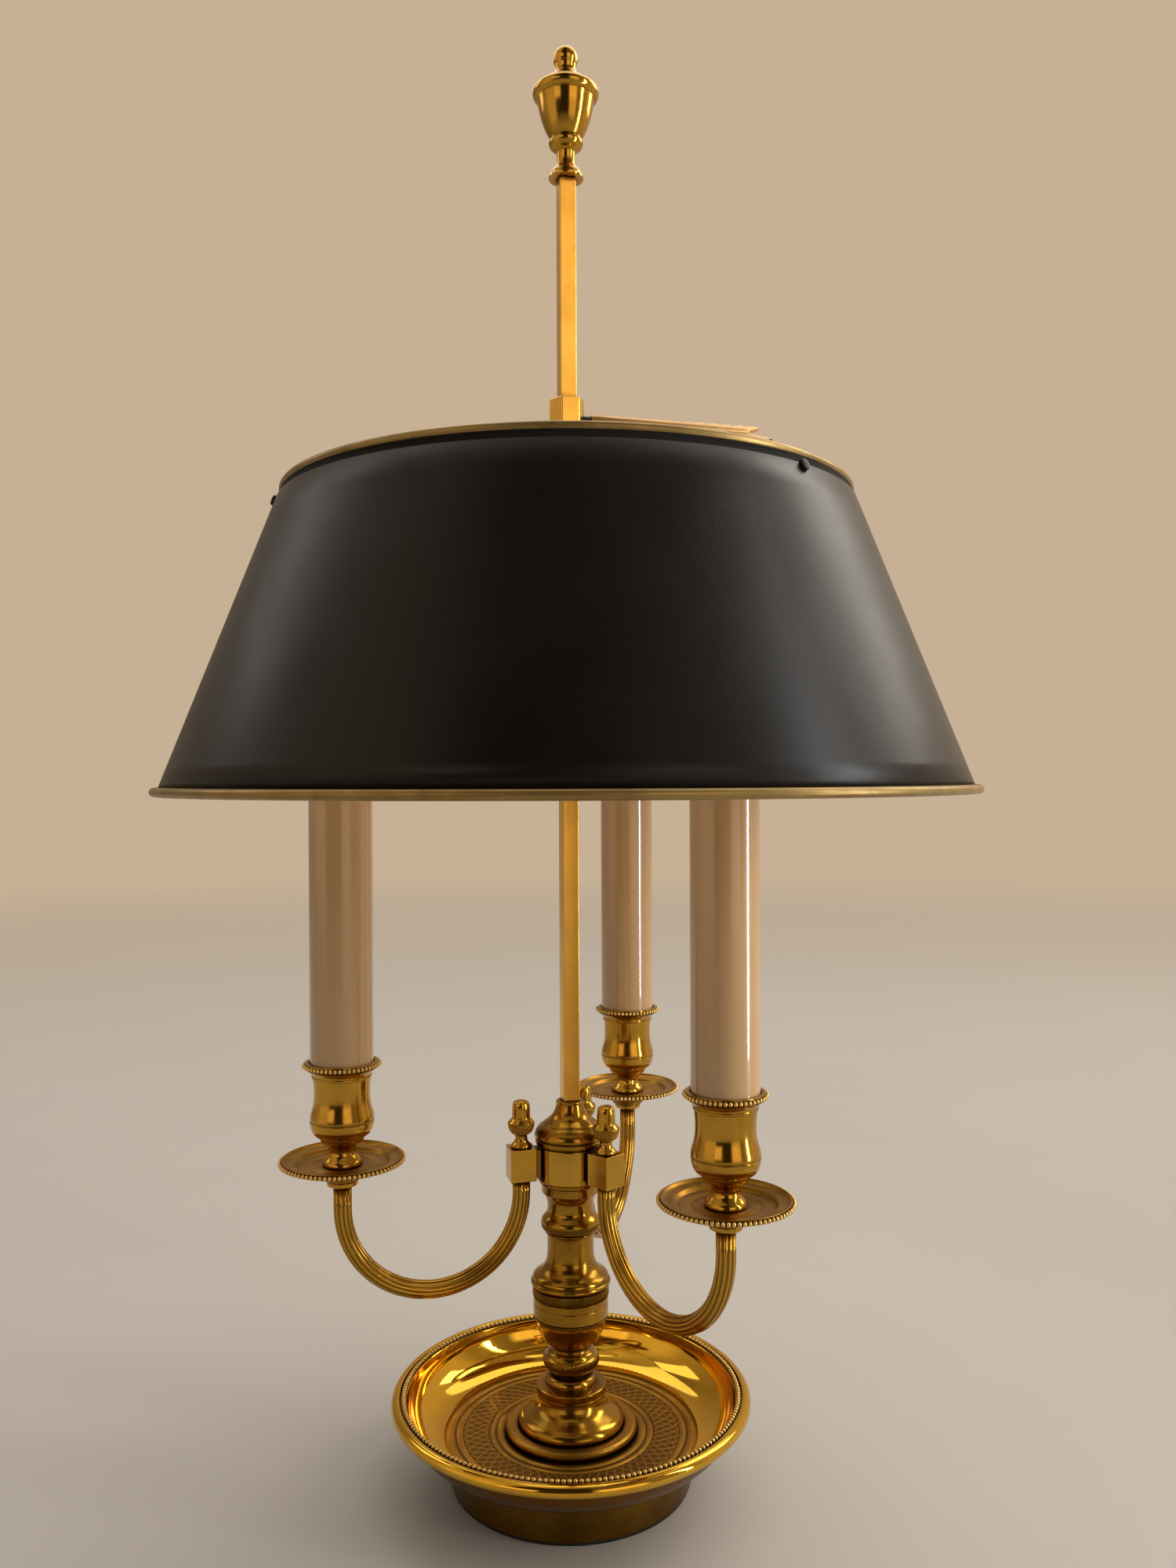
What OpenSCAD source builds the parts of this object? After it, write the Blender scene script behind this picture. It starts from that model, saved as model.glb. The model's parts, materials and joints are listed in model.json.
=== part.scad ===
// Bouillotte lamp with three lights, millimetres.
// The origin is on the table, on the axis of the column. +Z is up and the front is at -Y.

/* [Base] */
// Thickness of the felt pad
felt_t = 1.5; // [1:0.1:3]
// How far the felt stays inside the foot
felt_inset = 0.6; // [0.2:0.1:1]
// Radius of the foot drum
foot_r = 54.4; // [44:0.2:66]
// Height of the foot drum, from the felt to the dish
foot_h = 17; // [13:0.5:22]
// Wall of the spun foot drum
foot_wall = 1.2; // [0.8:0.1:2]
// Overall radius of the dish
dish_r = 81; // [76:0.5:98]
// Thickness of the dish
dish_t = 2; // [1.5:0.1:3]
// Radius where the flat floor of the dish ends
dish_floor_r = 56.5; // [47:0.5:58]
// Radius of the hollow curve of the dish wall
dish_cove_r = 17.5; // [14:0.5:18]
// Half the height of the rounded lip
dish_lip_r = 2.75; // [2.4:0.05:3]
// Radius of the pearls inside the lip
pearl_r = 1.2; // [0.8:0.1:1.3]

/* [Cord inlet] */
// Bore of the inlet bushing
inlet_bore_r = 3.2; // [2.5:0.1:4]
// Wall of the inlet bushing
inlet_wall = 1.3; // [1:0.1:1.6]
// Length of the inlet bushing inside the foot
inlet_len = 10; // [6:0.5:14]
// Thickness and overhang of the flange of the bushing
inlet_flange = 1.6; // [1:0.1:2]
// Width of the terminal block
terminal_w = 16; // [12:0.5:20]
// Length of the terminal block
terminal_len = 20; // [16:0.5:24]
// Height of the terminal block
terminal_h = 9; // [7:0.5:10]

/* [Column] */
// Outer radius of the tie tube
tube_r = 5; // [4.5:0.1:5.5]
// Bore of the tie tube
tube_bore_r = 4; // [3:0.1:4]
// Outer radius of the foot ring
ring_r = 29.8; // [27:0.2:36]
// Height of the foot ring
ring_h = 3.7; // [3:0.1:4.5]
// Radius of the bell foot
bell_r = 23.8; // [20:0.2:25]
// Radius of the top of the bell foot
bell_top_r = 13; // [11:0.2:15]
// Height of the bell foot
bell_h = 16.8; // [14:0.2:20]
// Radius of the cushion collar
cushion_r = 15.8; // [13:0.2:18]
// Height of the cushion collar
cushion_h = 9.3; // [8:0.1:11]
// Radius of the lower knop
knop_r = 12.8; // [11:0.2:15]
// Height of the lower knop
knop_h = 12; // [10:0.2:14]
// Radius of the necks above and below the lower knop
neck_r = 8.8; // [7.5:0.1:9.4]
// Radius of the rim of the bowl cup
bowl_r = 16.5; // [14:0.2:19]
// Height of the bowl cup
bowl_h = 14.7; // [12:0.2:17]
// Radius of the barrel
barrel_r = 17; // [14:0.2:20]
// Height of the barrel
barrel_h = 13.7; // [11:0.2:16]
// How far the flange of the barrel stands out
flange_out = 1; // [0.6:0.1:1.6]
// Height of the flange of the barrel
flange_h = 2.5; // [2:0.1:3]
// Height of the hollow skirt over the flange
skirt_h = 7.5; // [6:0.1:9]
// Radius of the slim shaft
shaft_r = 10.5; // [9:0.1:11]
// Height of the slim shaft
shaft_h = 13.4; // [11:0.2:16]
// Radius of the beaded upper knop
beaded_r = 13.4; // [12.2:0.1:16]
// Height of the beaded upper knop
beaded_h = 10.6; // [9:0.1:12.6]
// Height of the neck and cone between the beaded knop and the hub
cone_h = 13.5; // [11:0.1:16]
// Radius of the top of the cone
cone_r = 14; // [12:0.1:15]

/* [Hub] */
// Radius of the hub drum
hub_r = 15.2; // [13:0.1:17]
// Height of the hub drum
hub_h = 16; // [14:0.2:19]
// Width of each square block
block_w = 11.7; // [10.4:0.1:14]
// Width of the web that joins each block to the hub drum
web_w = 8; // [7:0.1:10]
// How far each block stops short of the bottom of the hub drum
block_lift = 1.5; // [1:0.1:2]
// How far each block stops short of the top of the hub drum
block_dip = 0.1; // [0:0.1:0.5]
// Distance from the column axis to the leg of an arm
leg_r = 22.7; // [20:0.1:27]
// Radius of the ring of the hub cap
cap_r = 15.6; // [13:0.1:18]
// Height of the hub cap
cap_h = 19.5; // [18:0.1:23]
// Radius of the lip at the top of the hub cap
cap_lip_r = 6; // [5.4:0.1:7]
// Radius of the wire passages in the hub
wire_hole_r = 2; // [1.5:0.1:2.3]

/* [Arms] */
// Direction of the left arm, anticlockwise from +X; the others follow every 120 degrees
first_angle = 195; // [0:1:360]
// How far each arm stands turned from its block: left, right, back
arm_turns = [0, -10, -2.5]; // [-25:0.5:25]
// Outer radius of the arm tube
arm_r = 4; // [3.7:0.1:4.8]
// Bore of the arm tube
arm_bore_r = 2.7; // [2:0.1:2.9]
// Distance from the leg of an arm to its candle
arm_span = 79; // [66:0.5:95]
// Straight length between the bend and the block
leg_straight = 5.5; // [4:0.5:12]
// Straight length between the bend and the collar
riser_straight = 10.3; // [8:0.1:16]
// Radius of the swivel end that turns in the block
swivel_r = 3.5; // [3.1:0.1:3.6]
// Radius of the stud that holds the acorn nut
acorn_stud_r = 2; // [1.6:0.1:2.2]
// Length of the stud inside the acorn nut
acorn_stud_h = 9; // [6:0.5:12]
// Radius of the collar under the drip pan
collar_r = 6.7; // [6:0.1:8]
// Height of the collar under the drip pan
collar_h = 2.4; // [2:0.1:4]
// Length of the stem from the collar up to the lampholder
stem_h = 119; // [100:1:120]
// Radius of the knurled cup of an acorn nut
acorn_r = 6; // [5:0.1:6.6]
// Height of an acorn nut
acorn_h = 21; // [18:0.2:25]

/* [Candles] */
// Radius of the rim of a drip pan
pan_r = 27.2; // [24:0.1:32]
// Height of a drip pan
pan_h = 9.3; // [8:0.1:11]
// Radius of the boss of a drip pan
pan_boss_r = 8; // [7:0.1:10]
// Height from the boss to the floor of a drip pan
pan_floor_h = 6.3; // [5.4:0.1:6.8]
// Radius of the floor of a drip pan
pan_well_r = 18.8; // [16:0.1:20]
// Radius of the foot of a candle cup
cup_foot_r = 8.3; // [7:0.1:10]
// Radius of the neck of a candle cup
cup_neck_r = 5.9; // [5.2:0.1:7]
// Radius of the belly of a candle cup
cup_belly_r = 13.8; // [12.6:0.1:16]
// Height of the candle cup from its foot to its widest line
cup_belly_h = 19.5; // [17:0.1:22]
// Radius of the waist of a candle cup
cup_waist_r = 12; // [11:0.1:13]
// Wall of a candle cup at its waist
cup_wall = 1.9; // [1.4:0.1:2.2]
// Overall height of a candle cup
cup_h = 44.7; // [41:0.1:52]
// How far the rim of a candle cup stands out from the sleeve
cup_rim_out = 3.3; // [2.6:0.1:4]
// Depth of the seat of the sleeve in a candle cup
seat_depth = 4; // [3:0.1:5]
// Outer radius of a candle sleeve
sleeve_r = 13.6; // [13:0.1:16]
// Wall of a candle sleeve
sleeve_wall = 1.5; // [1:0.1:1.7]
// Length of a candle sleeve
sleeve_h = 145; // [140:1:175]
// Height of a lampholder
holder_h = 78; // [65:1:80]
// Gap between a lampholder and its sleeve
holder_gap = 0.4; // [0.3:0.1:1]
// How far a lampholder screws down over its stem
holder_bite = 8; // [6:0.5:12]
// Radius of the screw cap of a bulb
bulb_cap_r = 6.95; // [6.9:0.05:7]
// Height of the screw cap of a bulb
bulb_cap_h = 26; // [24:0.5:28]
// Radius of the glass of a bulb
bulb_r = 17.5; // [16:0.5:19]
// Height of the glass of a bulb
bulb_h = 74; // [62:1:78]
// Wall of the glass of a bulb
glass_t = 0.8; // [0.6:0.1:1]

/* [Rod and finial] */
// Width across the flats of the square rod
rod_w = 7.5; // [6.8:0.1:9]
// Length of the square rod
rod_h = 416.3; // [360:0.1:500]
// Radius of the round spigot under the square rod
spigot_r = 3.4; // [3:0.1:3.4]
// Length of the spigot under the square rod
spigot_h = 10.8; // [9:0.1:11]
// Radius of the stud through the finial
finial_stud_r = 2; // [1.6:0.1:2.4]
// Radius of the disc under the finial
finial_disc_r = 7.9; // [7:0.1:10]
// Height of the disc, dome and neck under the finial
finial_collar_h = 12.3; // [10:0.1:16]
// Radius of the neck under the urn
finial_neck_r = 4.2; // [3.6:0.05:5]
// Radius of the small cup under the urn
urn_foot_r = 7.8; // [6.6:0.1:9.4]
// Radius of the rim of the urn
urn_r = 14.3; // [12:0.1:17]
// Height of the urn
urn_h = 29.4; // [25:0.1:35]
// Radius of the ball on the lid
ball_r = 5.6; // [4.8:0.1:6.6]
// Height of the lid and its ball
lid_h = 18.3; // [16:0.1:22]

/* [Shade] */
// Height of the lower edge of the shade over the table
shade_z = 314; // [300:1:390]
// Radius of the upper edge of the shade
shade_top_r = 127.6; // [112:0.2:150]
// Radius of the lower edge of the shade
shade_low_r = 175.5; // [150:0.5:210]
// Height of the shade
shade_h = 122.5; // [108:0.5:150]
// Thickness of the shade
shade_t = 0.6; // [0.4:0.1:1]
// Radius of the wire in the upper rim
top_rim_r = 1.75; // [1.4:0.05:2.2]
// Radius of the wire in the lower rim
low_rim_r = 1.9; // [1.4:0.05:2.4]
// Width of the spider bars
spider_w = 10; // [8:0.5:12]
// Thickness of the spider bars
spider_t = 2; // [1.5:0.1:2.5]
// How far the spider bars lie below the upper edge
spider_drop = 8; // [7.6:0.1:12]
// How far the screws lie below the upper edge
screw_drop = 2; // [1.6:0.1:2.6]
// Radius of a shade screw
screw_r = 1.5; // [1.25:0.05:2]
// Radius of the head of a shade screw
screw_head_r = 2.35; // [2.2:0.05:3]

/* [Clamp] */
// Width across the flats of the hexagonal clamp sleeve
clamp_w = 14.2; // [13.4:0.1:17]
// Length of the clamp sleeve
clamp_h = 60.5; // [54:0.5:72]
// Distance from the top of the sleeve to its screw
stud_drop = 9; // [8:0.1:12]
// Radius of the clamp screw
stud_r = 2.45; // [2:0.05:2.6]
// Distance from the rod axis to the start of the arrow
arrow_start = 11; // [10.4:0.1:14]
// Length of the arrow to the tips of its tail
arrow_len = 86; // [72:0.5:103]
// Radius of the arrow shaft
arrow_r = 3.2; // [3:0.1:3.6]
// Half the width of the feather vanes
vane_half_w = 11; // [9:0.1:13]
// Length of the feather vanes
vane_len = 46; // [38:0.5:55]
// Thickness of the feather vanes
vane_t = 2; // [1.4:0.1:2.6]
// Angle of the vanes to the horizontal
vane_tilt = 32; // [0:1:90]

/* [Clearances] */
// Gap between a shaft or thread and its bore
slip = 0.05; // [0.03:0.01:0.08]
// Gap on each side of the rod in the clamp sleeve
slide_gap = 0.15; // [0.1:0.01:0.25]
// Gap over and under a block, where an arm turns
swing_gap = 0.1; // [0.05:0.01:0.2]
// Gap between the clamp screw and the rod
grip_gap = 0.25; // [0.2:0.01:0.4]
// Gap between a spider tab and the shade
tab_gap = 0.2; // [0.15:0.01:0.3]
// Room around the loose pieces inside the foot
inside_gap = 1; // [0.5:0.1:1.5]

/* [Hidden] */
LIGHTS = ["left", "right", "back"];
PER_LIGHT = ["arm", "acorn_nut", "drip_pan", "candle_cup", "candle_sleeve", "lampholder",
    "bulb_cap", "bulb_glass"];

$fn = 96;
arc_steps = 6;   // straight pieces in a quarter curve
hex = 6;         // sides of a nut
eps = 0.5;       // how far a cut runs past the solid

// Heights, each piece standing on the one below
dish_z = felt_t + foot_h;
floor_z = dish_z + dish_t;
bell_z = floor_z;
cushion_z = bell_z + bell_h;
knop_z = cushion_z + cushion_h;
bowl_z = knop_z + knop_h;
barrel_z = bowl_z + bowl_h;
shaft_z = barrel_z + barrel_h + flange_h + skirt_h;
beaded_z = shaft_z + shaft_h;
hub_z = beaded_z + beaded_h + cone_h;
wire_z = hub_z + hub_h / 2;
cap_z = hub_z + hub_h;
rod_z = cap_z + cap_h;
rod_top = rod_z + rod_h;
urn_z = rod_top + finial_collar_h;
lid_z = urn_z + urn_h;
lid_bite = lid_h * 0.35;             // how far the stud reaches into the lid

// Inside the foot
drum_in_r = foot_r - foot_wall;
weight_r = drum_in_r - slip;
nut_flats = 14;
nut_h = 4;
washer_r = 11;
washer_t = 1.5;
well_r = washer_r + inside_gap;
thread_show = 1.5;
lead_room = 4;
well_top = felt_t + lead_room + thread_show + nut_h + washer_t;
tube_z = felt_t + lead_room;
tube_top = cap_z + cap_h - spigot_h - inside_gap;
inlet_z = felt_t + foot_h / 2;
inlet_r = inlet_bore_r + inlet_wall;
terminal_y = well_r + 4;
terminal_z = inlet_z - terminal_h / 2;
lead_r = 0.9;
lead_bend_r = 0.8;                   // a lead is a little thinner where it crosses
lead_ring = 2.1;
terminal_pitch = terminal_w / 3;

// Hub and arms
block_z = hub_z + block_lift;
block_top = cap_z - block_dip;
angles = [for (i = [0:2]) first_angle + 120 * i];
arm_bend_r = arm_span / 2;
arm_z = block_z - swing_gap - leg_straight;
swivel_wall = 1.3;
swivel_bore_r = swivel_r - swivel_wall;
collar_z = arm_z + riser_straight;
pan_z = collar_z + collar_h;
cup_z = pan_z + pan_floor_h;
stem_top = pan_z + stem_h;
sleeve_z = cup_z + cup_h - seat_depth;
sleeve_in_r = sleeve_r - sleeve_wall;
holder_r = sleeve_in_r - holder_gap;
holder_z = stem_top - holder_bite;
holder_top = holder_z + holder_h;
socket_r = bulb_cap_r + slip;
cap_seam = 3.5;                      // how deep the glass sits in its cap
cap_show = 1.5;                      // how far the cap shows over the lampholder
bulb_z = holder_top + cap_show - cap_seam;
bulb_cap_z = bulb_z - bulb_cap_h;
acorn_z = block_top + swing_gap;

// Shade, spider and clamp
shade_top_z = shade_z + shade_h;
taper = (shade_low_r - shade_top_r) / shade_h;
taper_angle = atan(taper);
wall_run = shade_t / cos(taper_angle);
spider_z = shade_top_z - spider_drop - spider_t;
screw_z = shade_top_z - screw_drop;
screw_head_h = 1.5;
screw_len = 9;
rim_shift = 1;                       // the top bead lies in from the wall, the low bead out
shade_nut_flats = 5.5;
shade_nut_h = 2.4;
spider_hub_r = clamp_w / 2 + 6;
clamp_top = spider_z + clamp_h;
stud_z = clamp_top - stud_drop;
stud_bite = 9;
stud_collar_r = stud_r + 1.6;        // the flat that is milled round the screw
face_angle = first_angle - 180;      // the face of the rod that the screw presses
clamp_face_r = clamp_w / 2 + 0.3;    // the flat under the head of the screw

// Radius of the outside of the shade at a height, carried on past its edges
function shade_r(z) = shade_top_r + (shade_top_z - z) * taper;

// Quarter curve from a to b that sets out along the radius and arrives upright
function out_then_up(a, b) = [for (i = [0:arc_steps]) let (t = 90 * i / arc_steps)
    [a[0] + (b[0] - a[0]) * sin(t), a[1] + (b[1] - a[1]) * (1 - cos(t))]];

// Quarter curve from a to b that sets out upright and arrives along the radius
function up_then_out(a, b) = [for (i = [0:arc_steps]) let (t = 90 * i / arc_steps)
    [a[0] + (b[0] - a[0]) * (1 - cos(t)), a[1] + (b[1] - a[1]) * sin(t)]];

// Half-round moulding between two heights, standing out from radius r
function half_round(r, low, high, out) = [for (i = [0:2 * arc_steps]) let (t = 90 * i / arc_steps)
    [r + out * sin(t), (low + high) / 2 - (high - low) / 2 * cos(t)]];

// Turned solid: the outline runs up the outside, and the bore is straight
module turned(bore, outline) {
    low = outline[0][1];
    high = outline[len(outline) - 1][1];
    rotate_extrude() polygon(concat([[bore, low]], outline, [[bore, high]]));
}

// Ring of round wire
module wire_ring(r, wire) {
    rotate_extrude() translate([r, 0]) circle(wire);
}

// Rod along +X from the axis, at a height
module cross_rod(r, from, to) {
    translate([from, 0, 0]) rotate([0, 90, 0]) cylinder(r = r, h = to - from);
}

// Frame of an arm: its leg is the origin and its candle is on +X
module at_arm(i) {
    rotate(angles[i]) translate([leg_r, 0, 0]) rotate(arm_turns[i]) children();
}

// Frame of a candle: its axis is the origin
module at_candle(i) {
    at_arm(i) translate([arm_span, 0, 0]) children();
}

// Frame of a shade screw: +Z points out of the shade, square to its wall
module at_screws() {
    for (a = angles)
        rotate(a) translate([shade_r(screw_z), 0, screw_z]) rotate([0, 90 - taper_angle, 0]) children();
}

// Frame of the clamp screw: +X points out along the screw
module at_clamp() {
    translate([0, 0, stud_z]) rotate(face_angle) children();
}

module felt_pad() {
    color("darkgreen") cylinder(r = foot_r - felt_inset, h = felt_t);
}

module base_weight() {
    pocket_w = terminal_w + 2 * inside_gap;
    pocket_end = terminal_y + terminal_len + inside_gap;
    color("dimgray") difference() {
        translate([0, 0, felt_t]) cylinder(r = weight_r, h = foot_h - foot_wall);
        cylinder(r = tube_r + slip, h = dish_z);
        cylinder(r = well_r, h = well_top);
        translate([-pocket_w / 2, 0, 0]) cube([pocket_w, pocket_end, inlet_z + terminal_h / 2]);
        translate([0, 0, inlet_z]) rotate([-90, 0, 0]) cylinder(r = inlet_r + inside_gap, h = foot_r);
    }
}

module base_washer() {
    color("silver") translate([0, 0, well_top - washer_t]) difference() {
        cylinder(r = washer_r, h = washer_t);
        translate([0, 0, -eps]) cylinder(r = tube_r + slip, h = washer_t + 2 * eps);
    }
}

module base_nut() {
    color("silver") translate([0, 0, well_top - washer_t - nut_h]) difference() {
        cylinder(d = nut_flats / cos(30), h = nut_h, $fn = hex);
        translate([0, 0, -eps]) cylinder(r = tube_r + slip, h = nut_h + 2 * eps);
    }
}

module foot_drum() {
    color("goldenrod") difference() {
        translate([0, 0, felt_t]) cylinder(r = foot_r, h = foot_h);
        translate([0, 0, felt_t - eps]) cylinder(r = drum_in_r, h = foot_h - foot_wall + eps);
        cylinder(r = tube_r + slip, h = dish_z + eps);
        translate([0, 0, inlet_z]) rotate([-90, 0, 0]) cylinder(r = inlet_r + slip, h = foot_r + eps);
    }
}

module inlet_bushing() {
    color("black") translate([0, foot_r, inlet_z]) rotate([-90, 0, 0]) difference() {
        union() {
            translate([0, 0, -inlet_len]) cylinder(r = inlet_r, h = inlet_len + inlet_flange);
            cylinder(r = inlet_r + inlet_flange, h = inlet_flange);
        }
        translate([0, 0, -inlet_len - eps])
            cylinder(r = inlet_bore_r, h = inlet_len + inlet_flange + 2 * eps);
    }
}

module terminal_block() {
    way_r = 1.5;
    screw_h = terminal_h / 2 + eps;
    color("white") difference() {
        translate([-terminal_w / 2, terminal_y, terminal_z])
            cube([terminal_w, terminal_len, terminal_h]);
        for (i = [-1:1]) translate([i * terminal_pitch, terminal_y, inlet_z]) {
            translate([0, -eps, 0]) rotate([-90, 0, 0]) cylinder(r = way_r, h = terminal_len + 2 * eps);
            for (end = [terminal_len / 4, 3 * terminal_len / 4])
                translate([0, end, -screw_h]) cylinder(r = way_r, h = screw_h);
        }
    }
}

// One lead for each light, up the tie tube and out through the hub
module lead_wires() {
    foot_lead_z = tube_z - 2 * lead_r;
    rise = inlet_z - foot_lead_z + 2 * lead_r;
    bend_y = terminal_y - 2;
    in_block = 8;
    ways = [-1, 1, 0];      // which way of the terminal block each lead takes
    color("darkred") for (i = [0:2]) {
        x = lead_ring * cos(angles[i]);
        y = lead_ring * sin(angles[i]);
        way_x = ways[i] * terminal_pitch;
        union() {
            translate([x, y, foot_lead_z]) cylinder(r = lead_r, h = wire_z - foot_lead_z);
            translate([0, 0, wire_z]) rotate(angles[i]) cross_rod(lead_bend_r, lead_ring, hub_r);
            translate([x, y, foot_lead_z]) rotate(atan2(bend_y - y, way_x - x))
                cross_rod(lead_bend_r, 0, norm([way_x - x, bend_y - y]));
            translate([way_x, bend_y, foot_lead_z - lead_r]) cylinder(r = lead_r, h = rise);
            translate([way_x, bend_y, inlet_z]) rotate([-90, 0, 0]) cylinder(r = lead_bend_r, h = in_block);
        }
    }
}

module dish() {
    cove_z = floor_z + dish_cove_r;
    lip_sink = 1.25;        // how far the middle of the lip lies below the top of the wall
    pearl_gap = 0.2;
    lip_c = [dish_r - dish_lip_r, cove_z - lip_sink];
    under_r = dish_cove_r + dish_t;
    under_stop = asin((cove_z - lip_c[1] + dish_lip_r) / under_r);
    under = [for (i = [0:2 * arc_steps]) let (t = -90 + (90 - under_stop) * i / (2 * arc_steps))
        [dish_floor_r + under_r * cos(t), cove_z + under_r * sin(t)]];
    lip = [for (i = [0:2 * arc_steps]) let (t = -90 + 90 * i / arc_steps)
        [lip_c[0] + dish_lip_r * cos(t), lip_c[1] + dish_lip_r * sin(t)]];
    cove = [for (i = [0:2 * arc_steps]) let (t = -45 * i / arc_steps)
        [dish_floor_r + dish_cove_r * cos(t), cove_z + dish_cove_r * sin(t)]];
    bore = tube_r + slip;
    pearl_seat_r = dish_floor_r + dish_cove_r + pearl_r + pearl_gap;
    color("gold") union() {
        rotate_extrude() polygon(concat([[bore, dish_z]], under, lip,
            [[lip_c[0] - 1, cove_z]], cove, [[bore, floor_z]]));
        translate([0, 0, cove_z + pearl_gap / 2]) wire_ring(pearl_seat_r, pearl_r);
    }
}

module tie_tube() {
    color("goldenrod") difference() {
        translate([0, 0, tube_z]) cylinder(r = tube_r, h = tube_top - tube_z);
        translate([0, 0, tube_z - eps]) cylinder(r = tube_bore_r, h = tube_top - tube_z + 2 * eps);
        translate([0, 0, wire_z]) for (a = angles)
            rotate(a) cross_rod(wire_hole_r, lead_ring, tube_r + eps);
    }
}

module foot_ring() {
    edge = ring_h / 2;
    seat_r = bell_r + slip;
    color("gold") translate([0, 0, floor_z])
        turned(seat_r, concat(half_round(ring_r - edge, 0, ring_h, edge),
            up_then_out([seat_r + 1, ring_h], [seat_r, edge])));
}

module bell_foot() {
    edge_r = bell_r - 0.6;
    edge_h = 2.1;           // the plain edge that sits in the foot ring
    swell_z = 2.9;
    brow_r = bell_r - 4.2;
    brow_z = 7.6;           // where the shoulder turns into the sweep
    color("goldenrod") translate([0, 0, bell_z])
        turned(tube_r + slip, concat([[edge_r, 0], [edge_r, edge_h], [bell_r, swell_z]],
            up_then_out([bell_r, swell_z + 0.3], [brow_r, brow_z]),
            out_then_up([brow_r - 0.2, brow_z], [bell_top_r, bell_h])));
}

module cushion_collar() {
    disc_h = 4.5;
    dome_r = cushion_r - 4.2;
    color("gold") translate([0, 0, cushion_z])
        turned(tube_r + slip, concat([[cushion_r, 0], [cushion_r, disc_h]],
            up_then_out([dome_r, disc_h], [neck_r + 0.3, cushion_h])));
}

module lower_knop() {
    step = 1.2;
    color("gold") translate([0, 0, knop_z])
        turned(tube_r + slip, concat([[neck_r, 0]],
            half_round(neck_r, step, knop_h - step, knop_r - neck_r), [[neck_r, knop_h]]));
}

module bowl_cup() {
    step = 2.7;
    step_r = neck_r + 2.4;
    rim = 1.5;
    color("gold") translate([0, 0, bowl_z])
        turned(tube_r + slip, concat([[neck_r, 0]],
            out_then_up([neck_r + 0.6, 0.8], [step_r, step]),
            out_then_up([step_r + 0.2, step], [bowl_r, bowl_h - rim]),
            [[bowl_r, bowl_h]]));
}

module barrel() {
    flange_z = barrel_h + flange_h;
    flange_r = barrel_r + flange_out;
    edge = 0.4;
    color("gold") translate([0, 0, barrel_z])
        turned(tube_r + slip, concat([[barrel_r, 0], [barrel_r, barrel_h]],
            half_round(flange_r - edge, barrel_h, flange_z, edge),
            out_then_up([flange_r - 1.5 * edge, flange_z], [shaft_r + 2 * edge, flange_z + skirt_h])));
}

module slim_shaft() {
    swell = 0.6;            // how much each end is fuller than the middle
    run = 3.5;              // length of each swelling
    color("gold") translate([0, 0, shaft_z])
        turned(tube_r + slip, [[shaft_r + swell, 0], [shaft_r, run],
            [shaft_r, shaft_h - run], [shaft_r + swell, shaft_h]]);
}

module beaded_knop() {
    waist_r = shaft_r - 0.1;
    seat_ring_r = shaft_r + 1.1;
    core_r = waist_r + 1.5;
    knop_low = 1.6;
    knop_top = beaded_h - 2;
    cone_low = beaded_h + 3;
    top = beaded_h + cone_h;
    lip = 1;                // the lip under the hub stands out this far
    color("gold") translate([0, 0, beaded_z])
        turned(tube_r + slip, concat(
            [[seat_ring_r, 0], [seat_ring_r, 1], [seat_ring_r + 0.6, knop_low - 0.3]],
            half_round(core_r, knop_low, knop_top, beaded_r - core_r),
            [[waist_r, beaded_h], [waist_r, cone_low]],
            out_then_up([waist_r + 0.6, cone_low + 1], [cone_r - lip, top - 5 * lip]),
            [[cone_r - lip, top - 1.8], [cone_r, top - 1.6], [cone_r, top]]));
}

module hub() {
    web_inset = 1;          // how far the web stops short of the block's ends
    color("goldenrod") difference() {
        union() {
            translate([0, 0, hub_z]) cylinder(r = hub_r, h = hub_h);
            for (a = angles) rotate(a) {
                translate([leg_r - block_w / 2, -block_w / 2, block_z])
                    cube([block_w, block_w, block_top - block_z]);
                translate([0, -web_w / 2, block_z + web_inset])
                    cube([leg_r, web_w, block_top - block_z - 2 * web_inset]);
            }
        }
        translate([0, 0, hub_z - eps]) cylinder(r = tube_r + slip, h = hub_h + 2 * eps);
        for (a = angles) rotate(a) {
            translate([leg_r, 0, block_z - eps])
                cylinder(r = swivel_r + slip, h = block_top - block_z + 2 * eps);
            translate([0, 0, wire_z]) cross_rod(wire_hole_r, 0, leg_r);
        }
    }
}

module hub_cap() {
    wall_h = 3.3;
    dome_r = cap_r + 0.6;
    step_r = cap_r - 2.9;
    step_z = wall_h + 5.7;
    nick = 0.4;
    lip_h = 1.5;
    color("gold") difference() {
        translate([0, 0, cap_z]) turned(spigot_r + slip, concat(
            [[cap_r, 0], [cap_r, wall_h]],
            up_then_out([dome_r, wall_h + nick], [step_r, step_z]),
            out_then_up([step_r - nick, step_z], [cap_lip_r + nick, cap_h - lip_h - nick]),
            [[cap_lip_r, cap_h - lip_h], [cap_lip_r, cap_h]]));
        translate([0, 0, cap_z - eps]) cylinder(r = tube_r + slip, h = tube_top - cap_z + eps);
    }
}

module square_rod() {
    stud_h = finial_collar_h + urn_h + lid_bite;
    color("gold") union() {
        translate([0, 0, rod_z]) rotate(face_angle)
            translate([-rod_w / 2, -rod_w / 2, 0]) cube([rod_w, rod_w, rod_h]);
        translate([0, 0, rod_z - spigot_h]) cylinder(r = spigot_r, h = spigot_h);
        translate([0, 0, rod_top]) cylinder(r = finial_stud_r, h = stud_h);
    }
}

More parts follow.
